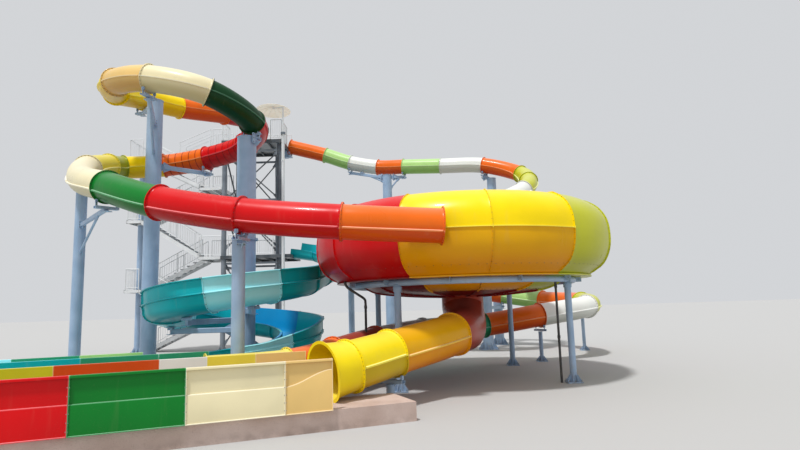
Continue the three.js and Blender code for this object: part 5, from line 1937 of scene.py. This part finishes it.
@dataclass
class Post:
    """One post: its node, place, radius and top, and its arms.

    An arm is its slide and joint, its thickness, how far below its strut starts (none at zero) and,
    where it isn't level, how far it falls to the post.
    """

    node: str
    place: tuple[float, float]
    radius: float
    top: float
    arms: tuple[tuple, ...]
    splice: float = 0.0
    head: Support | None = None

    def build(self, extra: "list[tuple[np.ndarray, float]] | None" = None) -> bpy.types.Object:
        """Makes the post with its arms, struts, saddles and splice.

        Args:
            extra: flume seats: each seat's place and the beam's height.

        Returns:
            The new piece.
        """
        shape = Shape(self.node + "_steel")
        foot = np.array([*self.place, 0.0])
        top = self.head.saddle(shape)[2] - 0.03 if self.head else self.top
        column(shape, foot, self.radius, top, self.radius * 1.7)
        if self.splice:
            r, z = self.radius, self.splice
            for low, high in ((z - 0.032, z - 0.002), (z + 0.002, z + 0.032)):
                shape.disc_stack(foot, [(r + 0.07, low), (r + 0.07, high)], Look.POST, 40)
            for k in range(16):
                spot = polar(self.place, r + 0.042, k * 22.5, z + 0.032)
                shape.bolt(spot, UP, 0.017)
                shape.bolt(spot - UP * 0.064, -UP, 0.017)
        for slide, joint, thick, strut, *fall in self.arms:
            tip = Support(slide, joint).saddle(shape)
            root = np.array([*self.place, tip[2] - sum(fall)])
            beam(shape, root, tip, thick * 0.8, thick, self.radius)
            if strut:
                low = np.array([*self.place, tip[2] - strut])
                meet = foot + (tip - foot) * (0.72, 0.72, 0) + UP * (tip[2] - thick * 0.3)
                along = unit(meet - low)
                shape.rod(low, meet, thick * 0.3, Look.POST, 20)
                across = unit(np.cross(along, UP))
                for end in (low + along * (self.radius + 0.05), meet - along * 0.12):
                    shape.bar(end - along * 0.1, end + along * 0.1, 0.02, thick * 0.95, Look.POST)
                    shape.bolt(end + across * 0.01, across, 0.02)
        for seat, low in extra or []:
            root = np.array([*self.place, low])
            tip = np.array([seat[0], seat[1], low])
            beam(shape, root, tip, 0.11, 0.16, self.radius)
            crown = np.array([tip[0], tip[1], seat[2] - SEAT_RISE])
            for s in (-1, 1):
                side = unit(np.cross(unit(tip - root), UP)) * s * 0.09
                shape.bar(tip + side + UP * 0.05, crown + side, 0.16, 0.012, Look.POST)
            shape.box(crown - (0.12, 0.12, 0.02), crown + (0.12, 0.12, -0.008), Look.POST, 0.003)
        return shape.build(self.node)


@dataclass
class Tower:
    """The tower: two H columns and two pipe columns, braced bays, two platforms and their rails."""

    width: float = 3.0
    depth: float = 2.6
    top_deck: float = 11.33
    mid_deck: float = 5.02
    pipe: float = 0.13
    h_size: float = 0.29
    back_right: float = -0.64
    bays: tuple[tuple[float, float], ...] = ((0.25, 4.6), (5.35, 8.0), (8.0, 10.75))
    splices: tuple[float, float] = (3.9, 7.6)
    deck_depth: float = 0.2

    def h_column(self, shape: Shape, x: float, y: float) -> None:
        """Adds an H column with root fillets, a base plate and two bolted splices.

        Args:
            shape: the piece it belongs to.
            x: its place to the right.
            y: its place to the back.
        """
        h, f, w = self.h_size / 2, 0.022, 0.009
        top = self.top_deck - self.deck_depth - CLEAR
        half = [(h, -h), (h, h), (h - f, h), (h - f, w + 0.02), (h - f - 0.02, w)]
        drawing = [*half, *[(-a, b) for a, b in half[::-1]]]
        drawing += [(-a, -b) for a, b in half[2:]] + [(a, -b) for a, b in half[:1:-1]]
        ring = np.array([(x + a, y + b, 0.0) for a, b in drawing])
        shape.loft([ring + UP * 0.02, ring + UP * top], Look.STEEL)
        reach = h * 1.2
        shape.box((x - reach, y - reach, 0), (x + reach, y + reach, 0.03), Look.STEEL, 0.004)
        for sx in (-1, 1):
            for sy in (-1, 1):
                place = np.array([x + sx * (reach - 0.03), y + sy * (reach - 0.03), 0.03])
                shape.bolt(place, UP, 0.018)
        for z in self.splices:
            for s in (-1, 1):
                face = s * (h + 0.012)
                low, high = sorted((s * h, face))
                shape.box((x + low, y - h + 0.02, z), (x + high, y + h - 0.02, z + 0.5), Look.STEEL, 0.003)
                for row in np.arange(0.06, 0.5, 0.125):
                    for b in (-0.07, 0.07):
                        spot = np.array([x + face, y + b, z + row])
                        shape.bolt(spot, np.array([s, 0, 0]), 0.014)

    def pipe_column(self, shape: Shape, x: float, y: float) -> None:
        """Adds a pipe column with splice collars.

        Args:
            shape: the piece it belongs to.
            x: its place to the right.
            y: its place to the back.
        """
        top = self.top_deck - self.deck_depth - CLEAR
        column(shape, np.array([x, y, 0]), self.pipe, top, 0.24, Look.STEEL)
        collar = self.pipe + 0.045
        for z in self.splices:
            shape.disc_stack((x, y), [(collar, z - 0.02), (collar, z + 0.02)], Look.STEEL, 28)

    def brace(self, shape: Shape, a: np.ndarray, b: np.ndarray, inset: float) -> None:
        """Adds one brace with a bolted plate at each end.

        Args:
            shape: the piece it belongs to.
            a: the corner it starts at.
            b: the corner it ends at.
            inset: how far it stays from both.
        """
        along = unit(b - a)
        out = unit(np.cross(along, UP if abs(along[2]) < 0.99 else np.array([1.0, 0, 0])))
        size, t = 0.07, 0.0084
        leg = [(0, 0), (size, 0), (size, t), (t, t), (t, size), (0, size)]
        drawing = [(p - size / 2, q - size / 2) for p, q in leg]
        shape.section(a + along * inset, b - along * inset, drawing, Look.DARK_STEEL, out)
        for end, way in ((a, 1), (b, -1)):
            root = end + along * way * inset
            rise = np.cross(out, along)
            drawing = [(-0.16, -0.10), (0.20, -0.055), (0.20, 0.055), (-0.16, 0.10)]
            ring = np.array([root + along * way * p + rise * q + out * 0.036 for p, q in drawing])
            shape.plate(ring, out, 0.01, Look.STEEL)
            for d in (0.05, 0.13):
                shape.bolt(root + along * way * d + out * 0.041, out, 0.013)

    def frames(self) -> list[bpy.types.Object]:
        """Makes the front and the back frame, each with the bracing of one side.

        Returns:
            The new pieces.
        """
        pieces = []
        for name, y, right in (("tower_front", 0.0, 0.0), ("tower_back", self.depth, self.back_right)):
            shape = Shape(name + "_steel")
            front = name == "tower_front"
            self.h_column(shape, right, y)
            self.pipe_column(shape, -self.width, y)
            half = self.h_size / 2
            near = np.array([0.0 if front else -self.width, y, 0.0])
            away = near - (0, y - self.pipe - CLEAR, 0)
            if front:
                away = np.array([self.back_right, self.depth - half - CLEAR, 0.0])
            plate, way = (half - 0.005, 1) if front else (0.055, -1)
            for low, high in self.bays:
                a, b = np.array([-self.width, y, 0.0]), np.array([right, y, 0.0])
                self.brace(shape, a + UP * low, b + UP * high, 0.26)
                self.brace(shape, b + UP * low + (0, 0.075, 0), a + UP * high + (0, 0.075, 0), 0.26)
                shape.bar(a + UP * high, b + UP * high, 0.09, 0.11, Look.STEEL)
                middle = (a + b) / 2 + UP * (low + high) / 2 + np.array([0, -0.04, 0])
                shape.bolt(middle, np.array([0.0, -1.0, 0.0]), 0.018)
                end = away - (0, way * 0.03, 0)
                shape.bar(near + UP * (high - 0.16), end + UP * (high - 0.16), 0.08, 0.12, Look.STEEL)
                self.brace(shape, near + UP * (low + 0.15), end + UP * (high - 0.16), 0.2)
                low_corner = (away[0] - plate, min(away[1], away[1] - way * 0.05), high - 0.9)
                high_corner = (away[0] + plate, max(away[1], away[1] - way * 0.05), high - 0.06)
                shape.box(low_corner, high_corner, Look.STEEL, 0.004)
            pieces.append(shape.build(name))
        return pieces

    def deck(
        self,
        shape: Shape,
        x0: float,
        x1: float,
        y0: float,
        y1: float,
        z: float,
        depth: float,
        dark: bool = True,
    ) -> None:
        """Adds a floor of grating on channels, with joists below.

        Args:
            shape: the piece it belongs to.
            x0: its left edge.
            x1: its right edge.
            y0: its front edge.
            y1: its back edge.
            z: the floor's height.
            depth: how deep its channels are.
            dark: whether its channels and joists are near black, painted shade under the floor.
        """
        # Near black steel under the floor is painted shade.
        under = Look.DARK_STEEL if dark else Look.RAIL
        shape.box((x0 + 0.01, y0 + 0.01, z - 0.04), (x1 - 0.01, y1 - 0.01, z - 0.006), Look.GRATING)
        for x in np.arange(x0 + 0.06, x1 - 0.03, 0.11):
            shape.box((x, y0 + 0.02, z - 0.006), (x + 0.008, y1 - 0.02, z), Look.GRATING)
        channel = [(0, 0), (0.075, 0), (0.075, 0.01), (0.009, 0.012), (0.009, depth - 0.022)]
        channel += [(0.075, depth - 0.02), (0.075, depth - 0.01), (0, depth - 0.01)]
        for start, end, inward in (
            ((x0, y0), (x1, y0), (0, 1)),
            ((x0, y1), (x1, y1), (0, -1)),
            ((x0, y0), (x0, y1), (1, 0)),
            ((x1, y0), (x1, y1), (-1, 0)),
        ):
            ring = np.array([(inward[0] * p, inward[1] * p, z - depth + q) for p, q in channel])
            shape.loft([ring + (*start, 0), ring + (*end, 0)], under)
        count = max(1, round((x1 - x0) / 0.75))
        for k in range(1, count):
            x = x0 + (x1 - x0) * k / count
            shape.box((x - 0.03, y0 + 0.01, z - depth + 0.02), (x + 0.03, y1 - 0.01, z - 0.04), under, 0.004)

    def platforms(self) -> list[bpy.types.Object]:
        """Makes the top platform with the slides' start seats, and the middle one.

        Returns:
            The new pieces.
        """
        left, right, front, back = -self.width - 0.15, 0.15, -0.17, self.depth + 0.17
        rail_left, rail_right, rail_front, rail_back = left + 0.04, right - 0.04, front + 0.05, back - 0.05
        z = self.top_deck
        shape = Shape("top_platform_deck")
        self.deck(shape, left, right, front, back, z, self.deck_depth)
        railing(shape, [(-1.6, rail_front, z), (rail_left, rail_front, z), (rail_left, 1.18, z)])
        railing(shape, [(rail_left, 2.33, z), (rail_left, rail_back, z), (rail_right, rail_back, z)])
        railing(shape, [(rail_right, 1.35, z), (rail_right, rail_front, z), (-0.48, rail_front, z)])
        slide_a, slide_b, _ = closed_slides()
        foot = Support(slide_b, 0).saddle(shape)
        shape.bar((0.02, 1.999, foot[2]), foot, 0.26, 0.11, Look.POST)
        shape.box((-0.16, 1.8, foot[2] - 0.06), (right - 0.08, 2.2, z - 0.1), Look.POST, 0.006)
        Support(slide_a, 0).saddle(shape)
        pieces = [shape.build("top_platform")]
        shape = Shape("mid_platform_deck")
        left = left + 0.02
        z = self.mid_deck
        self.deck(shape, left, right + 0.46, -0.16, self.depth + 0.16, z, 0.18)
        railing(shape, [(-0.35, -0.11, z), (left + 0.4, -0.11, z)])
        railing(shape, [(left + 0.4, self.depth + 0.11, z), (-0.9, self.depth + 0.11, z)])
        pieces.append(shape.build("mid_platform"))
        return pieces

    def shade(self) -> bpy.types.Object:
        """Makes the round sun shade: a shallow ribbed dome with a hem, on a stepped pole with clamps.

        Returns:
            The new piece.
        """
        centre, rim, crown = np.array([-0.42, 0.25, 13.05]), 0.955, 0.272
        riser, coupling = np.array([0.235, -0.28, 0.0]), 11.6
        lean = Matrix.Rotation(math.radians(-5.4), 3, "X")
        shape = Shape("sun_shade_canopy")
        ribs, per = 12, 6
        turns = np.arange(ribs * per) * 2 * math.pi / (ribs * per)
        sag = 0.5 - 0.5 * np.cos(turns * ribs)

        def placed(points: np.ndarray) -> np.ndarray:
            """Returns points of the upright dome as they stand on the leaning one."""
            return centre + np.asarray(points, float) @ np.array(lean).T

        def height(r: float) -> float:
            """Returns the dome's height at a radius."""
            return crown * (1 - (r / rim) ** 1.9)

        def level(r: float, z: float, dip: float) -> np.ndarray:
            """Returns one ring of the canopy, drawn in between the ribs."""
            reach = r * (1 - 0.012 * sag * (r > 0.5))
            return placed(np.column_stack([reach * np.cos(turns), reach * np.sin(turns), z - dip * sag]))

        steps = np.linspace(0.02, rim, 9)
        outer = [level(r, height(r), 0.022 * math.sin(math.pi * min(r / rim, 1))) for r in steps]
        inner = [ring - UP * 0.012 for ring in outer][::-1]
        inner[0] = level(rim - 0.014, 0.012, 0.0)
        shape.loft([*outer, *inner], Look.SHADE)
        spoke = np.linspace(0.05, rim - 0.02, 6)
        for k in range(ribs):
            a = k * 2 * math.pi / ribs
            line = placed([(r * math.cos(a), r * math.sin(a), height(r) - 0.02) for r in spoke])
            for start, end in zip(line, line[1:]):
                shape.rod(start, end, 0.007, Look.RAIL, 6)
        hub = [(0.05, 13.2), (0.05, 13.31), (0.09, 13.312), (0.085, 13.328), (0.02, 13.33)]
        shape.disc_stack(centre, hub, Look.RAIL, 24)
        column(shape, riser, 0.085, coupling, 0.095, Look.RAIL)
        for low, high in ((coupling - 0.068, coupling - 0.012), (coupling - 0.008, coupling + 0.048)):
            shape.disc_stack(riser, [(0.128, low), (0.128, high)], Look.STEEL, 24)
        shape.rod(riser + UP * (coupling + 0.03), riser + UP * 13.08, 0.04, Look.RAIL, 20)
        bend = [riser + UP * 12.99, riser + UP * 13.08 + np.array([-0.05, 0.04, 0.0]), centre + UP * 0.17]
        for start, end in zip(bend, bend[1:]):
            shape.rod(start, end, 0.036, Look.RAIL, 16)
        for z in (3.0, 6.8, 10.0):
            shape.box((0.1453, -0.16, z), (0.235, -0.07, z + 0.12), Look.RAIL, 0.004)
            shape.disc_stack(riser, [(0.097, z + 0.02), (0.097, z + 0.1)], Look.RAIL, 24)
            shape.bolt(riser + (0.0, -0.097, z + 0.06), np.array([0.0, -1.0, 0.0]), 0.014)
        return shape.build("sun_shade")

    def build(self) -> list[bpy.types.Object]:
        """Makes the whole tower."""
        return [*self.frames(), *self.platforms(), self.shade()]


@dataclass
class Stair:
    """The stair beside the tower: flights of treads between channels, landings and a column."""

    tower: Tower
    right: float = -4.4
    left: float = -7.5
    end: float = -8.3
    front: float = 0.06
    back: float = 1.24
    lane: float = 1.0
    column_at: tuple[float, float] = (-8.0, 1.15)
    landings: tuple[float, ...] = (0.0, 1.6, 3.37, 5.02, 7.1, 8.8, 10.5)
    rise: float = 0.18
    turn: float = -6.1
    walk: float = -4.1

    def flight(
        self, shape: Shape, x0: float, z0: float, x1: float, z1: float, y: float, bars: float
    ) -> None:
        """Adds a flight: two channels, treads with nosings, and a rail on each side.

        Args:
            shape: the piece it belongs to.
            x0: where it starts.
            z0: the floor it starts from.
            x1: where it ends.
            z1: the floor it ends at.
            y: its front edge.
            bars: the distance between the rail's upright bars.
        """
        count = max(2, round((z1 - z0) / self.rise))
        going, rise = (x1 - x0) / count, (z1 - z0) / count
        way = 1 if x1 > x0 else -1
        head, far = [(x1, z1 - 0.002), (x1, z1 - 0.22)], y + self.lane
        if z0:
            drawing = [(x0, z0 + rise - 0.005), *head, (x0 + way * 0.02, z0 + rise - 0.23)]
        else:
            drawing = [(x0, rise), *head, (x0 + going * 0.35, 0.0), (x0, 0.0)]
        for side in (y, far - 0.012):
            ring = np.array([(x, side, z) for x, z in drawing])
            shape.loft([ring, ring + (0, 0.012, 0)], Look.RAIL)
        for k in range(count):
            a, z = x0 + going * k, z0 + rise * (k + 1)
            low, high = sorted((a, a + going))
            shape.box((low, y + 0.012, z - 0.035), (high - 0.012, far - 0.012, z), Look.GRATING, 0.003)
            nose = a if way > 0 else a - 0.03
            shape.box((nose, y + 0.014, z - 0.05), (nose + 0.03, far - 0.014, z + 0.001), Look.STEEL, 0.003)
        for side in (y + 0.025, y + self.lane - 0.025):
            f0, f1 = 0.06, 0.94
            start = (x0 + (x1 - x0) * f0, side, z0 + (z1 - z0) * f0 + rise)
            stop = (x0 + (x1 - x0) * f1, side, z0 + (z1 - z0) * f1 + rise)
            railing(shape, [start, stop], 0.99, bars)

    def landing(self, shape: Shape, z: float, to_right: bool) -> None:
        """Adds a landing and its rails.

        Args:
            shape: the piece it belongs to.
            z: its floor.
            to_right: whether it is on the tower's side.
        """
        front, back = self.front, self.back + self.lane
        if not to_right:
            self.tower.deck(shape, self.end, self.left, front, back, z, DECK_DEPTH, False)
            edge = [(self.left - 0.04, front + 0.03, z), (self.end + 0.05, front + 0.03, z)]
            edge += [(self.end + 0.05, back - 0.03, z), (self.left - 0.04, back - 0.03, z)]
            railing(shape, edge)
            x, y = self.column_at
            shape.disc_stack((x, y), [(0.19, z - 0.15), (0.19, z - 0.05)], Look.RAIL, 24)
            return
        edge = -self.tower.width - 0.1303
        self.tower.deck(shape, self.right, edge, front, back, z, DECK_DEPTH, False)
        for y in (front + 0.03, back - 0.03):
            railing(shape, [(self.right + 0.04, y, z), (edge - 0.04, y, z)])
        if z != self.tower.mid_deck:
            for y0, y1 in ((-0.06, 0.115), (2.18, 2.66)):
                shape.box((edge - 0.17, y0, z - 0.16), (-3.135, y1, z - 0.06), Look.RAIL, 0.004)

    def build(self) -> list[bpy.types.Object]:
        """Makes every flight with its landing, the walk to the top platform, and the column.

        Returns:
            The new pieces.
        """
        pieces = []
        for i in range(1, len(self.landings)):
            to_right = i % 2 == 1
            x0, x1 = (self.left, self.right) if to_right else (self.right, self.left)
            way = 1 if to_right else -1
            shape = Shape(f"stair_{i}_steel")
            y = self.back if to_right else self.front
            bars = 0.13 if self.landings[i] < 9 else 0.0
            self.flight(shape, x0 + way * CLEAR, self.landings[i - 1], x1, self.landings[i], y, bars)
            self.landing(shape, self.landings[i], to_right)
            pieces.append(shape.build(f"stair_{i}"))
        shape = Shape("stair_7_steel")
        z, top, back = self.landings[-1], self.tower.top_deck, self.back + self.lane
        self.tower.deck(shape, self.left + CLEAR, self.turn + 0.02, self.back, back, z, DECK_DEPTH, False)
        self.flight(shape, self.turn, z, self.walk, top, self.back, 0.0)
        deck_left = -self.tower.width - 0.15
        self.tower.deck(shape, self.walk - 0.02, deck_left - CLEAR, self.back, back, top, DECK_DEPTH, False)
        for y in (self.back + 0.03, back - 0.03):
            railing(shape, [(self.walk, y, top), (deck_left - 0.06, y, top)])
        pieces.append(shape.build("stair_7"))
        shape = Shape("stair_column_steel")
        column(shape, np.array([*self.column_at, 0.0]), 0.15, 10.6, 0.26)
        pieces.append(shape.build("stair_column"))
        return pieces


def flume() -> Flume:
    """Returns the open flume with its joints, round a spiral and into the far lane.

    Returns:
        The flume.
    """
    lanes = RunOut()
    centre = (lanes.far[0] + lanes.far[1]) / 2
    joints = [(0.6, 1.15, 5.0), (2.0, 0.8, 4.74), (3.2, -0.7, 4.42), (4.1, -3.0, 4.08), (4.25, -5.6, 3.73)]
    joints += [(3.92, -8.0, 3.38), (3.42, -10.3, 3.02)]
    joints += [spiral_c(38 * i) for i in range(12)]
    joints += [lanes.point(1.9, centre, 0.56), lanes.point(3.3, centre, 0.5)]
    looks = Look.row(
        "turquoise turquoise pale_cyan turquoise turquoise pale_cyan turquoise "
        "turquoise pale_cyan turquoise pale_cyan turquoise "
        "turquoise turquoise turquoise turquoise pale_cyan turquoise teal_green"
    )
    return Flume(joints, looks)


def spiral_c(degrees: float) -> np.ndarray:
    """Returns the place on the flume's spiral at an angle."""
    return polar((1.24, -12.3), 2.02, -degrees, 2.7 - 1.7 * degrees / 360)


def posts() -> list[bpy.types.Object]:
    """Makes every post and trestle.

    Returns:
        The new pieces.
    """
    a, b, exit_tube = closed_slides()
    flume_seats = [(spiral_c(d), spiral_c(d)[2] - 0.29) for d in (60, 115, 180, 300, 375)]
    high_arms = ((a, 8, 0.15, 1.15), (a, 5, 0.14, 0.0), (a, 12, 0.14, 0.0))
    cross_arms = ((b, 2, 0.15, 0.85, 0.56), (b, 4, 0.15, 0.85))
    helix_arms = tuple((b, j, 0.15, 0.0) for j in (10, 13, 15, 17, 19))
    head = Support(a, 16.4, 0.11, 0.12)
    made = [
        Post("post_a_1", (-3.53, -12.7), 0.165, 0.0, ((a, 18, 0.12, 0.9),), head=head).build(),
        Post("post_a_2", (-2.05, -11.0), 0.26, 9.56, high_arms, 5.6).build(),
        Post("post_a_3", (1.49, -12.1), 0.305, 7.79, ((a, 10, 0.2, 0.0),), 4.4).build(flume_seats),
        Post("post_a_4", (2.64, -16.96), 0.155, 3.86, ((a, 20, 0.15, 0.0),)).build(),
        Post("post_b_1", (5.81, 0.7), 0.25, 9.32, cross_arms, 4.8).build(),
        Post("post_b_2", (11.39, -0.5), 0.235, 8.7, ((b, 6, 0.17, 0.0, 0.22),), 4.8).build(),
        Post("post_b_3", HELIX_B, 0.25, 6.1, helix_arms).build(),
    ]
    for name, slide, joint, radius in (
        ("trestle_b_1", b, 21, 0.07),
        ("trestle_b_2", b, 23, 0.07),
        ("trestle_b_3", b, 26, 0.07),
        ("trestle_exit", exit_tube, 4, 0.09),
    ):
        shape = Shape(name + "_steel")
        tip = Support(slide, joint, 0.12, 0.13).saddle(shape)
        column(shape, tip, radius, tip[2] - 0.03, 0.18)
        made.append(shape.build(name))
    return made


def flume_post() -> bpy.types.Object:
    """Makes the post with a crossbeam under the flume's straight.

    Returns:
        The new piece.
    """
    shape = Shape("post_c_1_steel")
    x, y = 4.23, -5.2
    seat = flume().path.at(4)
    top = seat.point[2] - SEAT_RISE
    column(shape, np.array([x, y, 0.0]), 0.13, top - 0.2, 0.221)
    low = np.array([x, y, top - 0.11])
    shape.bar(low - (0.33, 0, 0), low + (0.33, 0, 0), 0.14, 0.2, Look.POST)
    for s in (-1, 1):
        foot = np.array([x + s * 0.29, y, top - 0.01])
        shape.bar(foot, foot + UP * 0.1, 0.012, 0.14, Look.POST)
        shape.bolt(foot + (s * 0.006, 0, 0.06), np.array([float(s), 0.0, 0.0]), 0.014)
    return shape.build("post_c_1")


def write_sizes() -> None:
    """Works out the box of the solids and the box of what is shown as plain numbers."""
    boxes = {"cad": CAD_BOX, "visual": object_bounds()}
    plain = {name: [[float(v) for v in corner] for corner in box] for name, box in boxes.items()}


@dataclass
class Studio:
    """The floor, the light and the camera."""

    eye: tuple[float, float, float] = (6.45, -30.3, 2.2)
    pitch: float = 7.9
    roll: float = 0.0297
    lens: float = 25.65

    def camera(self) -> None:
        """Places the camera where the photograph was taken."""
        data = bpy.data.cameras.new("camera")
        data.lens, data.sensor_width = self.lens, 36.0
        data.clip_end = 500.0
        camera = bpy.data.objects.new("camera", data)
        tilt = Matrix.Rotation(math.radians(90 + self.pitch), 4, "X") @ Matrix.Rotation(-self.roll, 4, "Z")
        camera.matrix_world = Matrix.Translation(self.eye) @ tilt
        bpy.context.scene.collection.objects.link(camera)
        bpy.context.scene.camera = camera

    def floor(self) -> None:
        """Lays a plain pale floor."""
        mesh = bpy.data.meshes.new("floor")
        reach = 160.0
        corners = [(-reach, -reach, 0), (reach, -reach, 0), (reach, reach, 0), (-reach, reach, 0)]
        mesh.from_pydata(corners, [], [(0, 1, 2, 3)])
        mesh.materials.append(Ground(0xB8B7B5).material("floor"))
        floor = bpy.data.objects.new("floor", mesh)
        bpy.context.scene.collection.objects.link(floor)
        floor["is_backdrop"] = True

    def lights(self) -> None:
        """Adds a soft key light from the front left, and pale light all round."""
        key = bpy.data.lights.new("key", "SUN")
        key.energy, key.angle = 2.6, math.radians(5)
        lamp = bpy.data.objects.new("key", key)
        lamp.rotation_euler = Vector((-0.22, -0.34, 1.0)).to_track_quat("Z", "Y").to_euler()
        bpy.context.scene.collection.objects.link(lamp)
        world = bpy.data.worlds.new("studio")
        world.use_nodes = True
        background = world.node_tree.nodes["Background"]
        background.inputs["Color"].default_value = (0.90, 0.92, 0.95, 1.0)
        background.inputs["Strength"].default_value = 0.72
        bpy.context.scene.world = world
        bpy.context.scene.view_settings.view_transform = "Standard"

    def build(self) -> None:
        """Sets up the whole studio."""
        self.camera()
        self.floor()
        self.lights()


def main() -> None:
    """Builds the studio and every sub-assembly in order."""
    logging.basicConfig(level=logging.INFO, format="%(message)s")
    Studio().build()
    for slide in closed_slides():
        slide.build()
    Bowl().build()
    flume().build()
    RunOut().build()
    posts()
    flume_post()
    tower = Tower()
    tower.build()
    Stair(tower).build()
    for name in ("plinth_near", "plinth_far"):
        solid = bpy.data.objects[name]
        solid.data.materials.clear()
        solid.data.materials.append(Look.PLINTH.material())


if __name__ == "__main__":
    main()
    write_sizes()
